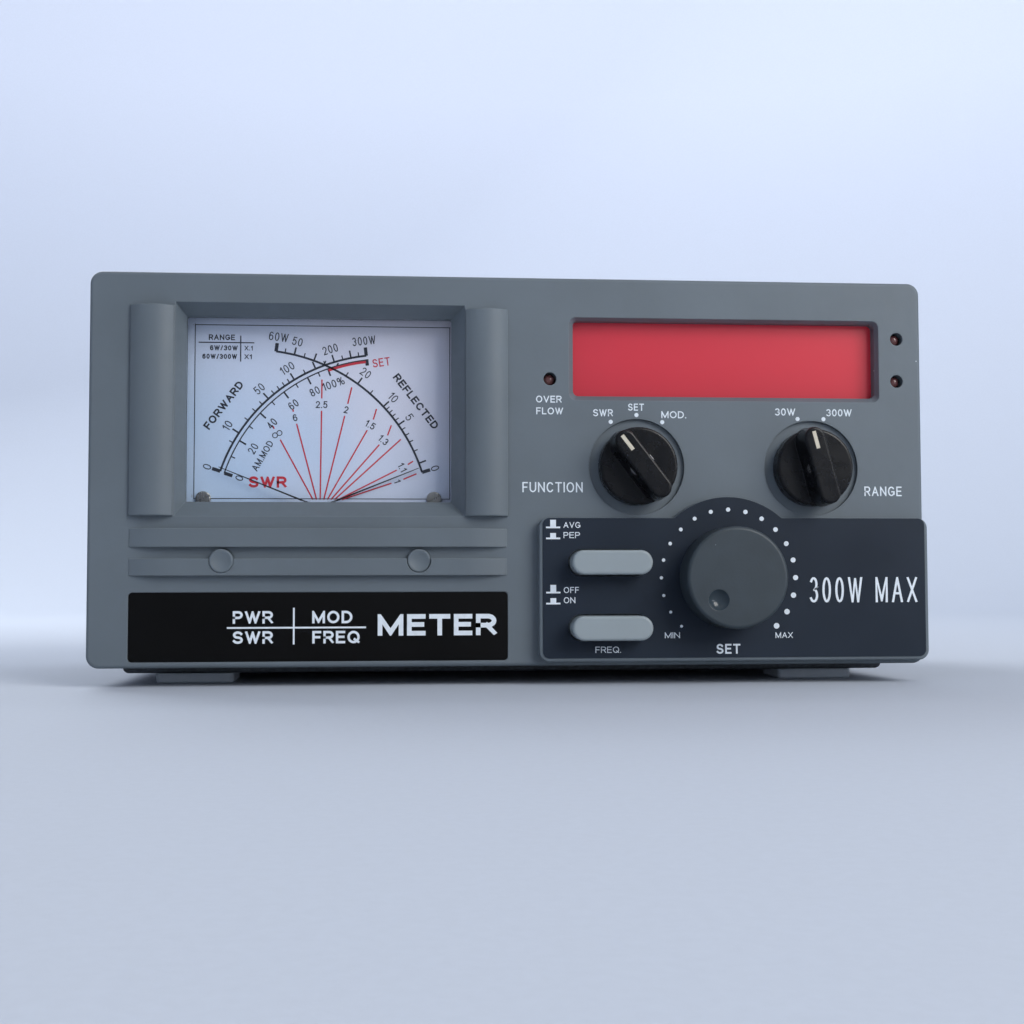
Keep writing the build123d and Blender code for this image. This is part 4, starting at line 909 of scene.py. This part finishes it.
def print_face(white_ink):
    """White lettering on the bezel's face, about the selectors and the overflow lamp."""
    face = Print("face_printing", face_surface())
    function = face.about(joint_place("function_turn"))
    for degrees in (-30, 0, 30):
        ring_dot(function, SELECTOR_DOT_RING, degrees, FACE_DOT)
    function.text("SWR", -8.3, 13.3, 1.75, 4.9, FINE)
    function.text("SET", -0.1, 14.75, 1.75, 3.95, FINE)
    function.text("MOD.", 9.3, 12.95, 1.75, 6.2, FINE)
    function.text("FUNCTION", -20.8, -5.05, 2.5, 14.8, 0.32)
    span = face.about(joint_place("range_turn"))
    for degrees in (-15, 15):
        ring_dot(span, SELECTOR_DOT_RING - 0.1, degrees, FACE_DOT)
    span.text("30W", -6.4, 14.0, 1.8, 5.1, FINE)
    span.text("300W", 7.25, 13.9, 1.8, 6.45, FINE)
    span.text("RANGE", 18.2, -5.65, 2.4, 9.5, 0.32)
    lamp = face.about(middle_of("overflow_led"))
    lamp.text("OVER", -0.3, -5.0, 1.7, 6.3, FINE)
    lamp.text("FLOW", -0.1, -7.9, 1.7, 6.6, FINE)
    face.place(white_ink, "chassis", "cream_inlay")


def ring_dot(layer, radius, degrees, diameter):
    """A dot at an angle measured clockwise from the top."""
    angle = math.radians(90 - degrees)
    layer.dot(*polar(radius, angle), diameter)


SET_RING_RADIUS = 16.6
SET_RING_DOTS = 19
SET_RING_HALF_SWEEP = 135.0
SMALLEST_DOT, LARGEST_DOT = 0.7, 1.4
BUTTON_WORDS = {
    "avg_pep_button": (("AVG", 4.1), ("PEP", 4.0)),
    "freq_button": (("OFF", 3.7), ("ON", 2.8)),
}  # each button's words when it is out and in, with their widths
BUTTON_WORDS_LEFT = -11.15


def print_control_label(white_ink):
    """Lettering on the raised label: the set ring, the push-button signs and the power rating."""
    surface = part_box("control_label")[0].y
    layer = Print("control_printing", surface)
    ring = layer.about(joint_place("set_turn"))
    for index in range(SET_RING_DOTS):
        share = index / (SET_RING_DOTS - 1)
        degrees = SET_RING_HALF_SWEEP * (2 * share - 1)
        diameter = SMALLEST_DOT + (LARGEST_DOT - SMALLEST_DOT) * share
        ring_dot(ring, SET_RING_RADIUS, degrees, diameter)
    ring.text("MIN", -14.0, -13.9, 1.45, 3.7, FINEST)
    ring.text("MAX", 13.6, -14.0, 1.45, 4.3, FINEST)
    ring.text("SET", -0.25, -17.25, 2.4, 5.9, 0.43)
    ring.text("300W MAX", 33.6, -3.0, 6.2, 27.0, 0.56)
    for node, words in BUTTON_WORDS.items():
        button = layer.about(middle_of(node))
        draw_push_sign(button, 8.5, 1.65)
        draw_push_sign(button, 5.85, 1.1)
        for (word, width), height in zip(words, (9.1, 6.65)):
            button.text(word, BUTTON_WORDS_LEFT + width / 2, height, 1.45, width, FINEST)
    button = layer.about(middle_of("freq_button"))
    button.text("FREQ.", -0.4, -5.3, 1.5, 6.2, FINEST)
    layer.place(white_ink, "chassis", "cream_inlay")


def draw_push_sign(layer, height, stem):
    """A push-button drawn in section, out or pressed in: a plate with a stem on it."""
    layer.bar((-15.4, height), (-11.95, height), 0.4)
    layer.bar((-13.68, height + 0.2), (-13.68, height + 0.2 + stem), 1.4)


def print_name_label(white_ink):
    """The lower-left label's lettering; its maker's corner stays blank."""
    layer = Print("name_printing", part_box("name_label")[0].y, middle_of("name_label"))
    layer.text("PWR", -15.9, 2.3, 3.0, 9.5, 0.58)
    layer.text("SWR", -15.9, -2.5, 3.0, 9.5, 0.58)
    layer.text("MOD", 2.95, 2.3, 3.0, 9.6, 0.58)
    layer.text("FREQ", 3.85, -2.5, 3.0, 11.3, 0.58)
    layer.bar((-22.0, -0.2), (11.0, -0.2), 0.42)
    layer.bar((-6.2, -4.2), (-6.2, 4.55), 0.42)
    layer.text("METER", 28.1, 0.35, 5.15, 28.6, 1.12)
    layer.place(white_ink, "chassis", "cream_inlay")


def print_rear(white_ink):
    """Plain words by the rear connectors, read from behind."""
    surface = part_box("rear_panel")[1].y
    layer = Print("rear_printing", surface, behind=True)
    for axis, words, width in zip(socket_axes(), ("ANT", "TX"), (8.0, 5.0)):
        layer.about(axis).text(words, 0.0, 17.0, 3.0, width, 0.42)
    x, z = middle_of("dc_jack")
    layer.about((x, z)).text("DC 13.8V", 0.0, 11.0, 2.4, 14.0, 0.34)
    draw_polarity(layer.about((x, z - 10.5)))
    layer.place(white_ink, "chassis", "cream_inlay")


def draw_polarity(layer):
    """The usual sign for a centre-positive power plug."""
    layer.arc(1.5, 40, 320, 0.3)
    layer.dot(0.0, 0.0, 1.1)
    layer.bar((0.3, 0.0), (5.0, 0.0), 0.3)
    layer.bar((-5.0, 0.0), (-1.5, 0.0), 0.3)
    for side in (-1, 1):
        layer.bar((side * 6.4 - 0.7, 0.0), (side * 6.4 + 0.7, 0.0), 0.3)
    layer.bar((6.4, -0.7), (6.4, 0.7), 0.3)


# ---------------------------------------------------------------- socket threads

INCH = 25.4
SOCKET_FLANGE = INCH
BARREL_RADIUS = 7.94
THREAD_LENGTH = 14.0
THREAD_PITCH = INCH / 24
THREAD_DEPTH = 0.55
GROOVE_SHARE = 0.42  # half the groove's width, as a share of the pitch
GROOVE_PROUD = 0.12  # mm: how far the cutter stands out of the barrel
THREAD_LEAD = 0.4  # mm: how far it starts before the barrel's end
THREAD_STEPS = 32  # sections in one turn of the thread


def socket_axes():
    """The axes of both coaxial sockets, as x and z, each in the middle of its square flange."""
    low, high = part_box("socket_shells")
    height = (low.z + high.z) / 2 / MM
    inset = SOCKET_FLANGE / 2
    return [(low.x / MM + inset, height), (high.x / MM - inset, height)]


def cut_socket_threads():
    """Cuts the coaxial sockets' 24-per-inch threads into their barrels."""
    cutter = bmesh.new()
    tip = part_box("socket_shells")[1].y / MM
    for axis in socket_axes():
        add_thread_groove(cutter, axis, tip)
    bmesh.ops.recalc_face_normals(cutter, faces=cutter.faces)
    tool = link_mesh("thread_cutter", cutter)
    tool.hide_render = True
    tool.hide_viewport = True
    cut = NODES["socket_shells"].modifiers.new("thread", "BOOLEAN")
    cut.operation = "DIFFERENCE"
    cut.object = tool
    cut.solver = "EXACT"


def add_thread_groove(mesh, axis, tip):
    """A long coil with a three-cornered section, which is the groove of the thread."""
    count = int(THREAD_LENGTH / THREAD_PITCH * THREAD_STEPS)
    rings = []
    for index in range(count + 1):
        angle = math.tau * index / THREAD_STEPS
        run = tip + THREAD_LEAD - THREAD_PITCH * index / THREAD_STEPS
        rings.append(groove_section(mesh, axis, angle, run))
    for first, second in zip(rings, rings[1:]):
        join_rings(mesh, first, second)
    mesh.faces.new(rings[0])
    mesh.faces.new(list(reversed(rings[-1])))


def groove_section(mesh, axis, angle, run):
    """The groove's three corners at one angle about the socket's axis."""
    half = THREAD_PITCH * GROOVE_SHARE
    proud = BARREL_RADIUS + GROOVE_PROUD
    corners = ((BARREL_RADIUS - THREAD_DEPTH, 0.0), (proud, half), (proud, -half))
    made = []
    for radius, shift in corners:
        x = axis[0] + math.cos(angle) * radius
        z = axis[1] + math.sin(angle) * radius
        made.append(mesh.verts.new((x * MM, (run + shift) * MM, z * MM)))
    return made


# ---------------------------------------------------------------- stage, light and camera

FLOOR_RADIUS = 0.72
SWEEP_RADIUS = 0.4
SWEEP_STEPS = 12
ROUND_STEPS = 96
WALL_TOP = 1.1
ROOM_IN_MIRROR = 0.3  # how bright the stage looks in a reflection, as the room round it would


def paper(name):
    """Pale bluish paper with a faint fibre, with painted shade: greyer low on the floor and paler up
    the wall.
    """
    graph = Graph(name)
    fibre = graph.spread(graph.noise(1.5, 5.0), 0.985, 1.01)
    # Painted shade: the paper is greyer on the floor and paler up the wall.
    height = graph.along("Z", 0.0, WALL_TOP / 2)
    tone = graph.shade(graph.blend(height, srgb(196, 203, 214), srgb(228, 234, 247)), fibre)
    mirrored = graph.node("ShaderNodeLightPath").outputs["Is Glossy Ray"]
    seen = graph.shade(tone, graph.spread(mirrored, 1.0, ROOM_IN_MIRROR, 0.0, 1.0))
    return graph.surface(seen, 0.9, graph.bump(graph.noise(1.0, 4.0), 0.02), specular=0.1)


def build_stage():
    """A round floor that sweeps up into a wall, so that no horizon shows from any side."""
    profile = [(0.0, 0.0), (FLOOR_RADIUS, 0.0)]
    for index in range(1, SWEEP_STEPS + 1):
        angle = math.pi / 2 * index / SWEEP_STEPS
        out = FLOOR_RADIUS + SWEEP_RADIUS * math.sin(angle)
        profile.append((out, SWEEP_RADIUS * (1 - math.cos(angle))))
    profile.append((FLOOR_RADIUS + SWEEP_RADIUS, WALL_TOP))
    mesh = bmesh.new()
    points = [mesh.verts.new((x, 0.0, z)) for x, z in profile]
    edges = [mesh.edges.new(pair) for pair in zip(points, points[1:])]
    bmesh.ops.spin(mesh, geom=points + edges, cent=(0, 0, 0), axis=(0, 0, 1), angle=math.tau,
                   steps=ROUND_STEPS, use_merge=True)
    bmesh.ops.remove_doubles(mesh, verts=mesh.verts, dist=1e-5)
    bmesh.ops.recalc_face_normals(mesh, faces=mesh.faces)
    for face in mesh.faces:
        face.smooth = True
    link_mesh("studio_floor", mesh, paper("studio_paper"))


WARM_WHITE = (1.0, 0.98, 0.94)
COOL_WHITE = (0.95, 0.97, 1.0)
MIDDLE = (CAD_BOX[0] + CAD_BOX[1]) / 2
# Each light is its name, place, aim, size in metres, power in watts and colour.
SOFTBOXES = (
    ("window_light", (0.6, -0.75, 0.55), MIDDLE, (0.6, 0.6), 6.8, WARM_WHITE),
    ("low_fill", (0.8, -0.55, 0.06), (0.0, 0.0, 0.0), (0.5, 0.1), 2.0, COOL_WHITE),
    ("wall_wash", (0.1, 0.4, 0.95), (0.15, 1.1, 0.3), (0.9, 0.5), 3.2, (0.93, 0.96, 1.0)),
    ("back_light", (-0.45, 0.6, 0.6), MIDDLE, (0.6, 0.4), 4.0, COOL_WHITE),
)
SKY_COLOUR = srgb(222, 226, 234)
SKY_STRENGTH = 0.46


def add_softbox(name, place, aim, size, power, colour):
    """A rectangular light that shines on the object, and that the camera doesn't see."""
    data = bpy.data.lights.new(name, "AREA")
    data.shape = "RECTANGLE"
    data.size, data.size_y = size
    data.energy = power
    data.color = colour
    lamp = bpy.data.objects.new(name, data)
    lamp.location = place
    lamp.rotation_euler = (Vector(aim) - Vector(place)).to_track_quat("-Z", "Y").to_euler()
    lamp.visible_camera = False
    bpy.context.scene.collection.objects.link(lamp)


def light_stage():
    """A wide window-like light at the upper right, a low fill, two behind, and a cool sky."""
    for softbox in SOFTBOXES:
        add_softbox(*softbox)
    world = bpy.data.worlds.new("sky")
    world.use_nodes = True
    background = world.node_tree.nodes["Background"]
    background.inputs["Color"].default_value = SKY_COLOUR
    background.inputs["Strength"].default_value = SKY_STRENGTH
    bpy.context.scene.world = world


CAMERA_PLACE = (-0.02865, -0.39757, 0.02529)
CAMERA_TURN = (1.61963, 0.00201, -0.0820)
CAMERA_LENS, CAMERA_SENSOR = 49.22, 36.0  # mm
CAMERA_NEAR = 0.01


def add_camera():
    """A close, low camera, a little to the left and tipped slightly up."""
    data = bpy.data.cameras.new("camera")
    data.lens = CAMERA_LENS
    data.sensor_width = CAMERA_SENSOR
    data.clip_start = CAMERA_NEAR
    camera = bpy.data.objects.new("camera", data)
    camera.location = CAMERA_PLACE
    camera.rotation_euler = CAMERA_TURN
    bpy.context.scene.collection.objects.link(camera)
    bpy.context.scene.camera = camera


# ---------------------------------------------------------------- everything together

looks = make_looks()
dress_nodes(looks)
white_ink = ink("white_ink", srgb(226, 234, 240))
print_dial(ink("dial_black_ink", srgb(38, 43, 57)), ink("dial_red_ink", srgb(202, 40, 56)))
print_face(white_ink)
print_control_label(white_ink)
print_name_label(white_ink)
print_rear(white_ink)
cut_socket_threads()
build_stage()
light_stage()
add_camera()
bpy.context.scene.view_settings.view_transform = "Standard"
